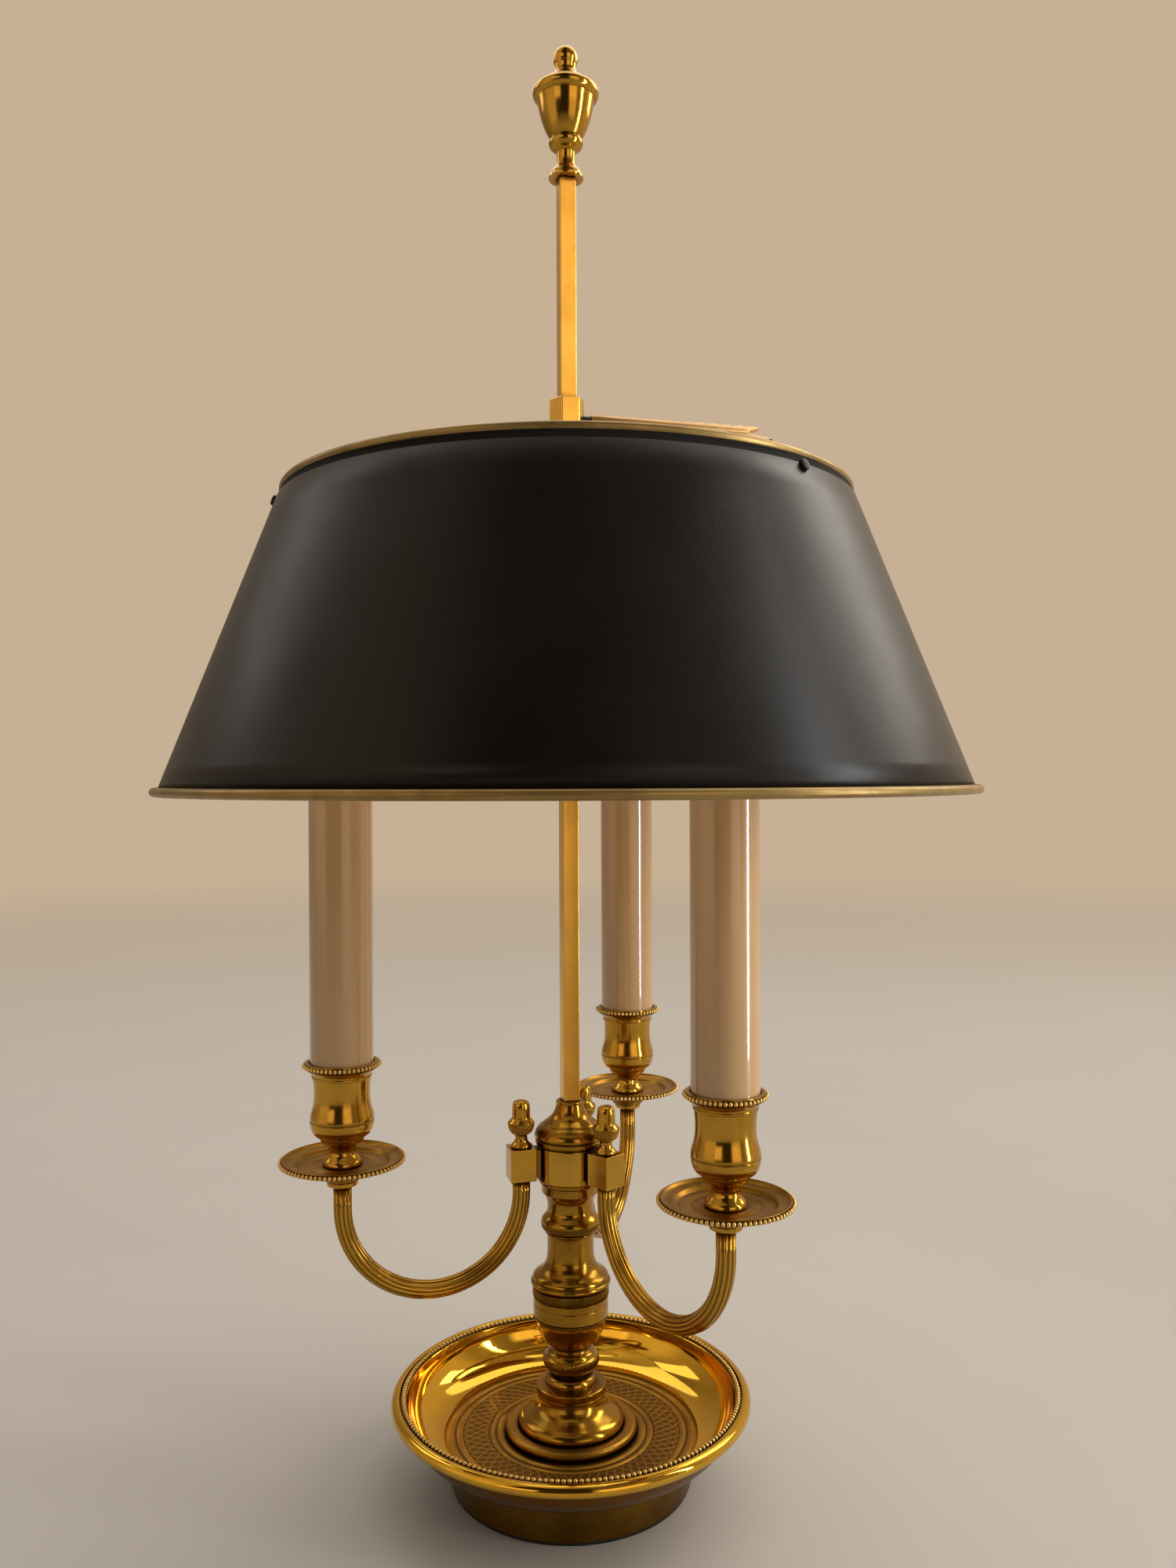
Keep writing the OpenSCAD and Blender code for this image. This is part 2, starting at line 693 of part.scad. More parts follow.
module finial_collar() {
    disc_h = 1.4;
    dome_h = 5.6;
    nick = 0.4;
    color("gold") translate([0, 0, rod_top])
        turned(finial_stud_r + slip, concat([[finial_disc_r, 0], [finial_disc_r, disc_h - nick]],
            up_then_out([finial_disc_r - nick, disc_h], [finial_neck_r + 2 * nick, dome_h]),
            [[finial_neck_r, dome_h + 2 * nick], [finial_neck_r, finial_collar_h]]));
}

module finial_urn() {
    foot_low = 0.8;
    foot_wide = 4.8;        // where the small cup reaches its full width
    foot_top = 6.1;
    rim_h = 6;
    rim_low = urn_h - rim_h;
    rim_out = 1.4;
    color("gold") translate([0, 0, urn_z])
        turned(finial_stud_r + slip, concat([[finial_neck_r + 0.4, 0]],
            out_then_up([finial_neck_r + 1, foot_low], [urn_foot_r, foot_wide]),
            [[urn_foot_r, foot_top - 0.2], [urn_foot_r - 0.3, foot_top]],
            out_then_up([urn_foot_r, foot_top + 0.4], [urn_r - rim_out, rim_low]),
            half_round(urn_r - rim_out, rim_low, urn_h, rim_out)));
}

module finial_lid() {
    ball_z = lid_h - ball_r;
    stem_r = 3;
    stem_z = 6.6;
    join = asin(stem_r / ball_r);
    ball = [for (i = [0:3 * arc_steps]) let (t = join + (180 - join) * i / (3 * arc_steps))
        [ball_r * sin(t), ball_z - ball_r * cos(t)]];
    color("gold") translate([0, 0, lid_z]) difference() {
        rotate_extrude() polygon(concat([[0, 0]], up_then_out([urn_r - 1.6, 0], [stem_r, stem_z]), ball));
        translate([0, 0, -eps]) cylinder(r = finial_stud_r + slip, h = lid_bite + slip + eps);
    }
}

module arm(i) {
    swivel_z = arm_z + leg_straight;
    passage_top = wire_z + wire_hole_r + eps;
    color("gold") at_arm(i) difference() {
        union() {
            translate([arm_bend_r, 0, arm_z]) rotate([-90, 0, 0]) rotate_extrude(angle = 180)
                translate([arm_bend_r, 0]) circle(arm_r);
            translate([0, 0, arm_z]) cylinder(r = arm_r, h = leg_straight);
            translate([0, 0, swivel_z]) cylinder(r = swivel_r, h = block_top - swivel_z);
            translate([0, 0, block_top]) cylinder(r = acorn_stud_r, h = acorn_stud_h);
            translate([arm_span, 0, arm_z]) cylinder(r = arm_r, h = stem_top - arm_z);
            translate([arm_span, 0, collar_z]) cylinder(r = collar_r, h = collar_h);
        }
        translate([arm_bend_r, 0, arm_z]) rotate([-90, 0, 0]) rotate_extrude(angle = 180)
            translate([arm_bend_r, 0]) circle(arm_bore_r);
        translate([0, 0, arm_z]) cylinder(r = arm_bore_r, h = leg_straight);
        translate([0, 0, swivel_z]) cylinder(r = swivel_bore_r, h = passage_top - swivel_z);
        translate([-swivel_r - eps, -wire_hole_r, wire_z - wire_hole_r])
            cube([swivel_r + eps, 2 * wire_hole_r, passage_top - wire_z + wire_hole_r]);
        translate([arm_span, 0, arm_z]) cylinder(r = arm_bore_r, h = stem_top - arm_z + eps);
    }
}

module acorn_nut(i) {
    neck = acorn_stud_r + 0.8;
    neck_z = 4.1;
    base_r = acorn_r - 1.3;
    base_t = 1.1;
    grip_z = acorn_h * 0.38;
    grip_top = acorn_h * 0.54;
    crown_r = acorn_r - 1.9;
    color("gold") at_arm(i) translate([0, 0, acorn_z]) difference() {
        rotate_extrude() polygon(concat([[0, 0], [base_r, 0]],
            out_then_up([base_r, base_t], [neck, neck_z]),
            out_then_up([neck, neck_z + 0.9], [acorn_r, grip_z]),
            [[acorn_r, grip_top], [crown_r, grip_top + 2.1]],
            up_then_out([crown_r, grip_top + 6], [0, acorn_h])));
        translate([0, 0, -eps]) cylinder(r = acorn_stud_r + slip, h = acorn_stud_h + 2 * eps);
    }
}

module drip_pan(i) {
    lip = 1.4;
    lip_low = pan_h - 2 * lip;
    boss_h = 2.5;
    tray = 1.3;             // how far the tray lies below the lip
    color("gold") at_candle(i) translate([0, 0, pan_z])
        rotate_extrude() polygon(concat([[arm_r + slip, 0], [pan_boss_r, 0], [pan_boss_r, boss_h]],
            out_then_up([pan_boss_r + 1, boss_h + 0.9], [pan_r - lip - 1, lip_low - 0.4]),
            half_round(pan_r - lip, lip_low, pan_h, lip),
            [[pan_r - 2.8 * lip, pan_h - tray], [pan_well_r + 0.8, pan_h - tray - 0.3]],
            [[pan_well_r, pan_floor_h], [arm_r + slip, pan_floor_h]]));
}

module candle_cup(i) {
    rim_r = sleeve_r + cup_rim_out;
    rim_edge = 1;
    rim_h = 2.6;
    bowl_low_z = 12.5;
    bowl_low_r = cup_belly_r - 3.6;
    ridge_z = cup_h - 6.5;
    hollow_r = cup_waist_r - cup_wall;
    hollow_z = cup_belly_h - 3;
    seat_r = sleeve_r + slip;
    seat_z = cup_h - seat_depth;
    color("gold") at_candle(i) translate([0, 0, cup_z])
        rotate_extrude() polygon(concat([[arm_r + slip, 0], [cup_foot_r, 0], [cup_foot_r, 0.8]],
            out_then_up([cup_foot_r - 0.2, 1], [cup_neck_r, 5]),
            [[cup_neck_r + 0.2, 7], [cup_neck_r + 1.1, 9.1], [bowl_low_r, bowl_low_z - 0.1]],
            out_then_up([bowl_low_r, bowl_low_z + 0.1], [cup_belly_r, cup_belly_h - 1]),
            [[cup_belly_r, cup_belly_h]],
            up_then_out([cup_belly_r - 0.2, cup_belly_h + 0.4], [cup_waist_r, cup_belly_h + 11]),
            [[cup_waist_r, ridge_z - 3], [sleeve_r - 0.8, ridge_z], [sleeve_r + 1, seat_z - 0.6]],
            half_round(rim_r - rim_edge, cup_h - rim_h, cup_h, rim_edge),
            [[seat_r, cup_h], [seat_r, seat_z], [hollow_r, seat_z]],
            [[hollow_r, hollow_z], [arm_r + slip, hollow_z]]));
}

module candle_sleeve(i) {
    color("mistyrose") at_candle(i) translate([0, 0, sleeve_z]) difference() {
        cylinder(r = sleeve_r, h = sleeve_h);
        translate([0, 0, -eps]) cylinder(r = sleeve_in_r, h = sleeve_h + 2 * eps);
    }
}

module lampholder(i) {
    color("ivory") at_candle(i) difference() {
        translate([0, 0, holder_z]) cylinder(r = holder_r, h = holder_h);
        translate([0, 0, holder_z - eps]) cylinder(r = arm_r + slip, h = holder_bite + eps);
        translate([0, 0, stem_top - eps]) cylinder(r = arm_bore_r, h = bulb_cap_z - stem_top + 2 * eps);
        translate([0, 0, bulb_cap_z]) cylinder(r = socket_r, h = holder_top - bulb_cap_z + eps);
    }
}

module bulb_cap(i) {
    tip_r = 3.5;
    tip_h = 3;
    pocket = 4;
    pocket_r = bulb_cap_r - 1;
    color("silver") at_candle(i) difference() {
        translate([0, 0, bulb_cap_z]) rotate_extrude() polygon([[0, 0], [tip_r, 0],
            [bulb_cap_r, tip_h], [bulb_cap_r, bulb_cap_h], [0, bulb_cap_h]]);
        translate([0, 0, bulb_z - pocket]) cylinder(r = pocket_r, h = pocket + eps);
    }
}

module bulb_glass(i) {
    throat_r = bulb_cap_r - 0.2;
    throat_h = 4;
    flare_r = throat_r + 3;
    belly_z = bulb_h * 0.38;
    flare_z = belly_z * 0.55;
    outside = concat([[throat_r, 0], [throat_r, throat_h]],
        up_then_out([throat_r, throat_h], [flare_r, flare_z]),
        out_then_up([flare_r, flare_z], [bulb_r, belly_z]),
        up_then_out([bulb_r, belly_z], [0, bulb_h]));
    inside = concat([[throat_r - glass_t, 0], [throat_r - glass_t, throat_h]],
        up_then_out([throat_r - glass_t, throat_h], [flare_r - glass_t, flare_z + glass_t]),
        out_then_up([flare_r - glass_t, flare_z + glass_t], [bulb_r - glass_t, belly_z]),
        up_then_out([bulb_r - glass_t, belly_z], [0, bulb_h - glass_t]));
    color("lightyellow") at_candle(i) translate([0, 0, bulb_z]) rotate_extrude()
        polygon(concat(outside, [for (k = [len(inside) - 1:-1:0]) inside[k]]));
}

// Section of the cone, which runs into both rim beads
module cone_section() {
    cover = 0.8;            // how much of each bead closes over the edge of the cone
    low = shade_z - 2 * low_rim_r + cover;
    high = shade_top_z + 2 * top_rim_r - cover;
    polygon([[shade_r(low), low], [shade_r(high), high],
        [shade_r(high) - wall_run, high], [shade_r(low) - wall_run, low]]);
}

// Bead of round wire, slotted over the edge of the cone
module rim_bead(r, z, wire) {
    rotate_extrude() difference() {
        translate([r, z]) circle(wire);
        cone_section();
    }
}

module shade_cone() {
    hole_depth = 2;
    color("#1c1a18") difference() {
        rotate_extrude() cone_section();
        at_screws() translate([0, 0, -hole_depth]) cylinder(r = screw_r + slip, h = 2 * hole_depth);
    }
}

module top_rim() {
    bead_z = shade_top_z + 2 * top_rim_r;
    color("darkgoldenrod") rim_bead(shade_r(bead_z) - rim_shift, bead_z, top_rim_r);
}

module low_rim() {
    bead_z = shade_z - 1.6 * low_rim_r;
    color("darkgoldenrod") rim_bead(shade_r(bead_z) + rim_shift, bead_z, low_rim_r);
}

module spider() {
    tab_top = screw_z + 3.5;
    tab_t = spider_t / cos(taper_angle);
    hole_depth = 8;
    low = spider_z;
    high = spider_z + spider_t;
    bar = [[spider_hub_r - 2, low], [spider_hub_r - 2, high],
        [shade_r(high) - wall_run - tab_gap - tab_t, high],
        [shade_r(tab_top) - wall_run - tab_gap - tab_t, tab_top],
        [shade_r(tab_top) - wall_run - tab_gap, tab_top], [shade_r(low) - wall_run - tab_gap, low]];
    color("dimgray") difference() {
        union() {
            for (a = angles) rotate(a) rotate([90, 0, 0]) translate([0, 0, -spider_w / 2])
                linear_extrude(spider_w) polygon(bar);
            translate([0, 0, spider_z]) cylinder(r = spider_hub_r, h = spider_t);
        }
        translate([0, 0, spider_z - eps]) rotate(face_angle)
            cylinder(d = clamp_w / cos(30) + 2 * slip, h = spider_t + 2 * eps, $fn = hex);
        at_screws() translate([0, 0, -hole_depth]) cylinder(r = screw_r + slip, h = hole_depth);
    }
}

module shade_screws() {
    color("black") at_screws() translate([0, 0, slip]) {
        translate([0, 0, -screw_len]) cylinder(r = screw_r, h = screw_len);
        cylinder(r = screw_head_r, h = screw_head_h);
    }
}

module shade_nuts() {
    inner = shade_t + (tab_gap + spider_t / cos(taper_angle)) * cos(taper_angle) + slip;
    color("silver") at_screws() translate([0, 0, -inner - shade_nut_h]) difference() {
        cylinder(d = shade_nut_flats / cos(30), h = shade_nut_h, $fn = hex);
        translate([0, 0, -eps]) cylinder(r = screw_r + slip, h = shade_nut_h + 2 * eps);
    }
}

module clamp_sleeve() {
    hole_w = rod_w + 2 * slide_gap;
    color("gold") difference() {
        translate([0, 0, spider_z]) rotate(face_angle)
            cylinder(d = clamp_w / cos(30), h = clamp_h, $fn = hex);
        translate([0, 0, spider_z - eps]) rotate(face_angle) translate([-hole_w / 2, -hole_w / 2, 0])
            cube([hole_w, hole_w, clamp_h + 2 * eps]);
        at_clamp() {
            cross_rod(stud_r + slip, 0, clamp_w);
            cross_rod(stud_collar_r, clamp_face_r, clamp_w);
        }
    }
}

module clamp_stud() {
    color("black") at_clamp() cross_rod(stud_r, rod_w / 2 + grip_gap, arrow_start + stud_bite);
}

module clamp_arrow() {
    tail = arrow_start + arrow_len;
    notch = 9;
    vane_start = tail - vane_len;
    taper_run = 9;
    shaft_end = tail - notch;
    color("gold") at_clamp() difference() {
        union() {
            cross_rod(arrow_r, arrow_start, shaft_end);
            rotate([vane_tilt, 0, 0]) translate([0, 0, -vane_t / 2]) linear_extrude(vane_t)
                polygon([[vane_start, 0], [vane_start + taper_run, vane_half_w], [tail, vane_half_w],
                    [shaft_end, 0], [tail, -vane_half_w], [vane_start + taper_run, -vane_half_w]]);
        }
        cross_rod(stud_r + slip, arrow_start - eps, arrow_start + stud_bite + slip);
    }
}

felt_pad();
base_weight();
base_washer();
base_nut();
foot_drum();
inlet_bushing();
terminal_block();
lead_wires();
dish();
tie_tube();
foot_ring();
bell_foot();
cushion_collar();
lower_knop();
bowl_cup();
barrel();
slim_shaft();
beaded_knop();
hub();
hub_cap();
square_rod();
finial_collar();
finial_urn();
finial_lid();
for (i = [0:2]) {
    arm(i);
    acorn_nut(i);
    drip_pan(i);
    candle_cup(i);
    candle_sleeve(i);
    lampholder(i);
    bulb_cap(i);
    bulb_glass(i);
}
shade_cone();
top_rim();
low_rim();
spider();
shade_screws();
shade_nuts();
clamp_sleeve();
clamp_stud();
clamp_arrow();
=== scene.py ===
import json
import math

import bmesh
import bpy
from mathutils import Matrix, Vector


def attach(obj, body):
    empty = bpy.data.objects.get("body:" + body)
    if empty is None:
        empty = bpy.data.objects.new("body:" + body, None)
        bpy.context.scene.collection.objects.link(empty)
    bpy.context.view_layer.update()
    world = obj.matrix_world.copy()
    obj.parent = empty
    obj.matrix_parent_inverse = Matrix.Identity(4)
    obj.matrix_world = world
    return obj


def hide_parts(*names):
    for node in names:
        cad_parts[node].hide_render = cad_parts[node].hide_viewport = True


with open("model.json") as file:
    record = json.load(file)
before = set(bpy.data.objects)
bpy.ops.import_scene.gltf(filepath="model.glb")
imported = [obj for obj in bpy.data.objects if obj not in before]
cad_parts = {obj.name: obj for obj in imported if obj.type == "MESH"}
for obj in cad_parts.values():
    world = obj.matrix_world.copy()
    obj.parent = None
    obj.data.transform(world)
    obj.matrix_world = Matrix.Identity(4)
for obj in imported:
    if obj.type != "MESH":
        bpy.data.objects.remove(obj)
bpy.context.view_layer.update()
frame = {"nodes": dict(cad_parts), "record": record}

scene = bpy.context.scene
scene.view_settings.view_transform = "Standard"
mm = 0.001
turn = 2 * math.pi

# the view: straight on, a little above half the lamp's height
eye = {"lens": 28.35, "place": (6, -560, 316.5), "down": 0.0058, "right": 0.005, "roll": -0.0042}
camera = bpy.data.objects.new("eye", bpy.data.cameras.new("eye"))
camera.data.lens = eye["lens"]
camera.data.clip_start, camera.data.clip_end = 0.01, 50
camera.matrix_world = (Matrix.Translation(Vector(eye["place"]) * mm)
                       @ Matrix.Rotation(-eye["right"], 4, "Z")
                       @ Matrix.Rotation(math.pi / 2 - eye["down"], 4, "X")
                       @ Matrix.Rotation(eye["roll"], 4, "Z"))
scene.collection.objects.link(camera)
scene.camera = camera

# where the three lights stand, as turns about the column
lights = {
    "left": {"leg": (-21.926, -5.875), "heading": 195, "block": 195},
    "right": {"leg": (16.051, -16.051), "heading": 305, "block": 315},
    "back": {"leg": (5.875, 21.926), "heading": 72.5, "block": 75},
}
armSpan = 79


def moved(x, y, z):
    return Matrix.Translation((x * mm, y * mm, z * mm))


def turnedBy(degrees):
    return Matrix.Rotation(math.radians(degrees), 4, "Z")


def legPlace(name):
    x, y = lights[name]["leg"]
    return moved(x, y, 0) @ turnedBy(lights[name]["heading"])


def candlePlace(name):
    return legPlace(name) @ moved(armSpan, 0, 0)


# nodes: a short way to add one, and the groups that the finishes share
def node(tree, kind, sockets=None, **settings):
    made = tree.nodes.new("ShaderNode" + kind)
    for key, value in settings.items():
        setattr(made, key, value)
    for key, value in (sockets or {}).items():
        if isinstance(value, bpy.types.NodeSocket):
            tree.links.new(value, made.inputs[key])
        else:
            made.inputs[key].default_value = value
    return made


def feed(tree, shader, socket, value):
    tree.links.new(value, shader.inputs[socket])


def objectSpace(tree):
    return node(tree, "TexCoord").outputs["Object"]


def blendColours(tree, share, first, second, how="MIX"):
    made = node(tree, "Mix", {0: share, 6: first, 7: second}, data_type="RGBA", blend_type=how)
    return made.outputs[2]


def sums(tree, how, *values, clamp=False):
    made = node(tree, "Math", dict(enumerate(values)), operation=how, use_clamp=clamp)
    return made.outputs[0]


def times(tree, first, second, clamp=False):
    return sums(tree, "MULTIPLY", first, second, clamp=clamp)


def plus(tree, first, second):
    return sums(tree, "ADD", first, second)


def spread(tree, value, low, high, outLow=0.0, outHigh=1.0):
    made = node(tree, "MapRange", {"Value": value, "From Min": low, "From Max": high,
                                   "To Min": outLow, "To Max": outHigh})
    return made.outputs[0]


def cloud(tree, where, scale, detail, rough, stretch=(1, 1, 1), shift=(0, 0, 0)):
    placed = node(tree, "Mapping", {"Vector": where, "Scale": stretch, "Location": shift})
    made = node(tree, "TexNoise",
                {"Vector": placed.outputs[0], "Scale": scale, "Detail": detail, "Roughness": rough})
    return made.outputs["Fac"]


def newGroup(name, takes, gives):
    tree = bpy.data.node_groups.new(name, "ShaderNodeTree")
    for title, kind, value in takes:
        socket = tree.interface.new_socket(title, in_out="INPUT", socket_type="NodeSocket" + kind)
        socket.default_value = value
    for title, kind in gives:
        tree.interface.new_socket(title, in_out="OUTPUT", socket_type="NodeSocket" + kind)
    return tree, tree.nodes.new("NodeGroupInput").outputs, tree.nodes.new("NodeGroupOutput").inputs


def makeTarnishAndShade():
    # tarnish in its hollows and painted shade in creases and joins darken the brass; it clouds over in
    # patches and stays bright where it is handled
    tree, take, give = newGroup("tarnish_and_shade", [
        ("Bright", "Color", (0.8, 0.55, 0.2, 1)), ("Dark", "Color", (0.25, 0.13, 0.04, 1)),
        ("Hollows", "Float", 1.0), ("Reach", "Float", 0.0035), ("Patches", "Float", 0.3),
        ("Patch Size", "Float", 60.0), ("Cut", "Float", 0.0),
        ("Polish", "Float", 0.12), ("Dullness", "Float", 0.4)],
        [("Color", "Color"), ("Roughness", "Float"), ("Height", "Float")])
    where = objectSpace(tree)
    # painted shade: occlusion from this and every nearby part darkens the colour, besides marking tarnish in
    # hollows
    shelter = node(tree, "AmbientOcclusion", {"Distance": take["Reach"]}, samples=6,
                   only_local=False).outputs["AO"]
    deep = times(tree, spread(tree, shelter, 0.9, 0.45), take["Hollows"])
    broad = cloud(tree, where, take["Patch Size"], 4, 0.6)
    specks = cloud(tree, where, 1400, 2, 0.6)
    patchy = times(tree, spread(tree, broad, 0.42, 0.72), take["Patches"])
    speckled = times(tree, spread(tree, specks, 0.62, 0.72), spread(tree, broad, 0.45, 0.65, 0.0, 0.35))
    # the mask holds tarnish, patches and specks, and painted shade from the occlusion and from the
    # cut-and-shade input
    worn = sums(tree, "MAXIMUM", plus(tree, deep, plus(tree, patchy, speckled)), take["Cut"], clamp=True)
    tint = blendColours(tree, worn, take["Bright"], take["Dark"])
    warm = blendColours(tree, spread(tree, cloud(tree, where, 25, 2, 0.5, shift=(3, 1, 2)), 0.35, 0.65),
                        (1.0, 0.97, 0.9, 1), (1.0, 0.9, 0.78, 1))
    tree.links.new(blendColours(tree, 1.0, tint, warm, "MULTIPLY"), give["Color"])
    gloss = node(tree, "Mix", {0: worn, 2: take["Polish"], 3: take["Dullness"]}, data_type="FLOAT").outputs[0]
    hazed = plus(tree, gloss, spread(tree, cloud(tree, where, 420, 3, 0.6), 0.3, 0.7, -0.02, 0.035))
    tree.links.new(hazed, give["Roughness"])
    pits = plus(tree, speckled, times(tree, take["Cut"], 0.5))
    tree.links.new(sums(tree, "SUBTRACT", times(tree, specks, 0.15), pits), give["Height"])
    return tree


def makeRubbed():
    # fine marks of polishing along one direction, for plain faces
    tree, take, give = newGroup("rubbed", [("Along", "Vector", (1, 1, 0.04)), ("Fineness", "Float", 900.0)],
                                [("Mark", "Float")])
    where = objectSpace(tree)
    drawn = node(tree, "VectorMath", {0: where, 1: take["Along"]}, operation="MULTIPLY")
    lines = node(tree, "TexNoise", {"Vector": drawn.outputs[0], "Scale": take["Fineness"], "Detail": 2.0})
    tree.links.new(lines.outputs["Fac"], give["Mark"])
    return tree


def makeCrackle():
    # old stoving enamel: a net of hair cracks, fainter in some places, over a fine orange peel
    tree, take, give = newGroup("crackle", [("Cell", "Float", 1050.0), ("Grain", "Float", 2600.0)],
                                [("Crack", "Float"), ("Height", "Float")])
    where = objectSpace(tree)
    wobble = node(tree, "TexNoise", {"Vector": where, "Scale": 260.0, "Detail": 2.0})
    bent = node(tree, "VectorMath", {0: wobble.outputs["Color"], 1: (0.001, 0.001, 0.001)},
                operation="MULTIPLY")
    path = node(tree, "VectorMath", {0: where, 1: bent.outputs[0]}, operation="ADD")
    net = node(tree, "TexVoronoi", {"Vector": path.outputs[0], "Scale": take["Cell"]},
               feature="DISTANCE_TO_EDGE")
    hair = spread(tree, net.outputs["Distance"], 0.0, 0.07, 1.0, 0.0)
    seen = spread(tree, cloud(tree, where, 22, 3, 0.55), 0.4, 0.62, 0.1, 0.7)
    crack = times(tree, hair, seen)
    peel = cloud(tree, where, take["Grain"], 2, 0.5)
    tree.links.new(crack, give["Crack"])
    tree.links.new(sums(tree, "SUBTRACT", times(tree, peel, 0.5), crack), give["Height"])
    return tree


def makeChips():
    # small losses in a painted edge, in runs along it
    tree, take, give = newGroup("chips", [("Size", "Float", 300.0), ("Amount", "Float", 0.5)],
                                [("Chip", "Float")])
    where = objectSpace(tree)
    runs = spread(tree, cloud(tree, where, 18, 2, 0.6, shift=(1, 7, 4)), 0.5, 0.68)
    small = cloud(tree, where, take["Size"], 4, 0.7, stretch=(1, 1, 2.2))
    edge = sums(tree, "SUBTRACT", 0.78, times(tree, take["Amount"], times(tree, runs, 0.22)))
    tree.links.new(times(tree, sums(tree, "SUBTRACT", small, edge), 30.0, clamp=True), give["Chip"])
    return tree


tarnish_and_shade, rubbed, crackle, chips = makeTarnishAndShade(), makeRubbed(), makeCrackle(), makeChips()


def newFinish(name, **plain):
    made = bpy.data.materials.new(name)
    made.use_nodes = True
    tree = made.node_tree
    skin = tree.nodes["Principled BSDF"]
    for key, value in plain.items():
        skin.inputs[key.replace("_", " ")].default_value = value
    return made, tree, skin


def placeGroup(tree, group, **values):
    made = node(tree, "Group", node_tree=group)
    for key, value in values.items():
        socket = made.inputs[key.replace("_", " ")]
        if isinstance(value, bpy.types.NodeSocket):
            tree.links.new(value, socket)
        else:
            socket.default_value = value
    return made.outputs


def raiseSkin(tree, skin, height, depth, strength=1.0):
    bump = node(tree, "Bump", {"Height": height, "Distance": depth * mm, "Strength": strength})
    feed(tree, skin, "Normal", bump.outputs[0])


toneValues = ("bright", "dark", "hollows", "patches", "polish", "dull", "mark")
brassTones = {
    "polished_brass": ((0.59, 0.355, 0.052), (0.10, 0.042, 0.006), 1.1, 0.25, 0.09, 0.34, 0.02),
    "column_brass": ((0.40, 0.225, 0.028), (0.06, 0.024, 0.004), 1.2, 0.42, 0.13, 0.38, 0.03),
    "mirror_brass": ((0.78, 0.49, 0.055), (0.2, 0.095, 0.012), 0.5, 0.14, 0.05, 0.3, 0.0),
    # painted reflection: the drum's brass is darkened to stand for a dark table mirrored in it
    "drum_brass_painted_dark": ((0.20, 0.11, 0.018), (0.05, 0.024, 0.004), 0.8, 0.5, 0.24, 0.45, 0.04),
    "satin_brass": ((0.38, 0.205, 0.026), (0.06, 0.025, 0.004), 0.9, 0.55, 0.3, 0.5, 0.03),
    # its dark tone is the tarnish and painted shade between and behind the beads
    "pearl_brass": ((0.86, 0.60, 0.20), (0.03, 0.013, 0.003), 1.0, 0.05, 0.3, 0.55, 0.0),
    "plain_brass": ((0.90, 0.58, 0.12), (0.24, 0.11, 0.018), 0.7, 0.14, 0.17, 0.38, 0.05),
    "cast_brass": ((0.68, 0.44, 0.19), (0.18, 0.09, 0.035), 0.9, 0.4, 0.4, 0.58, 0.0),
}


def makeBrass(name, values):
    tone = dict(zip(toneValues, values))
    made, tree, skin = newFinish(name, Metallic=1.0)
    # the mesh's darkening layer: depth of engraving, plus painted shade and painted reflection
    darkening = node(tree, "Attribute", attribute_name="engraved_and_shaded").outputs["Fac"]
    aged = placeGroup(tree, tarnish_and_shade, Bright=(*tone["bright"], 1), Dark=(*tone["dark"], 1),
                      Hollows=tone["hollows"], Patches=tone["patches"], Cut=darkening,
                      Polish=tone["polish"], Dullness=tone["dull"])
    lines = placeGroup(tree, rubbed, Along=(1, 1, 0.05))
    feed(tree, skin, "Base Color", aged["Color"])
    feed(tree, skin, "Roughness",
         plus(tree, aged["Roughness"], spread(tree, lines["Mark"], 0.3, 0.7, 0.0, tone["mark"])))
    raiseSkin(tree, skin, plus(tree, aged["Height"], times(tree, lines["Mark"], tone["mark"] * 8)), 0.012)
    return made


def makeTole():
    # black enamel outside, warm white inside; the wall's own slope says which side a point is on
    made, tree, skin = newFinish("black_tole")
    skin.inputs["Specular IOR Level"].default_value = 0.27
    where = objectSpace(tree)
    parts = node(tree, "SeparateXYZ", {0: where}).outputs
    flat = node(tree, "CombineXYZ", {0: parts[0], 1: parts[1]})
    radius = node(tree, "VectorMath", {0: flat.outputs[0]}, operation="LENGTH").outputs["Value"]
    wall = sums(tree, "MULTIPLY_ADD", sums(tree, "SUBTRACT", shadeCone["topZ"] * mm, parts[2]), shadeSlope,
                (shadeCone["topR"] - shadeCone["wall"] * 0.93) * mm)
    outside = sums(tree, "GREATER_THAN", radius, wall)
    old = placeGroup(tree, crackle)
    dusty = spread(tree, cloud(tree, where, 9, 4, 0.6), 0.35, 0.7)
    black = blendColours(tree, dusty, (0.0042, 0.0030, 0.0019, 1), (0.0072, 0.0054, 0.0038, 1))
    black = blendColours(tree, old["Crack"], black, (0.0012, 0.0008, 0.0005, 1))
    motes = spread(tree, cloud(tree, where, 2600, 1, 0.4), 0.74, 0.8)
    black = blendColours(tree, times(tree, motes, 0.25), black, (0.09, 0.075, 0.06, 1))
    cream = blendColours(tree, dusty, (0.80, 0.74, 0.62, 1), (0.72, 0.65, 0.52, 1))
    feed(tree, skin, "Base Color", blendColours(tree, outside, cream, black))
    satin = plus(tree, spread(tree, dusty, 0, 1, 0.30, 0.37), times(tree, old["Crack"], 0.15))
    inGroove = sums(tree, "GREATER_THAN", parts[2], (shadeCone["grooveLow"] + 0.2) * mm)
    satin = sums(tree, "MAXIMUM", satin, times(tree, inGroove, 0.9))
    feed(tree, skin, "Roughness",
         node(tree, "Mix", {0: outside, 2: 0.55, 3: satin}, data_type="FLOAT").outputs[0])
    raiseSkin(tree, skin, old["Height"], 0.03, 0.8)
    return made


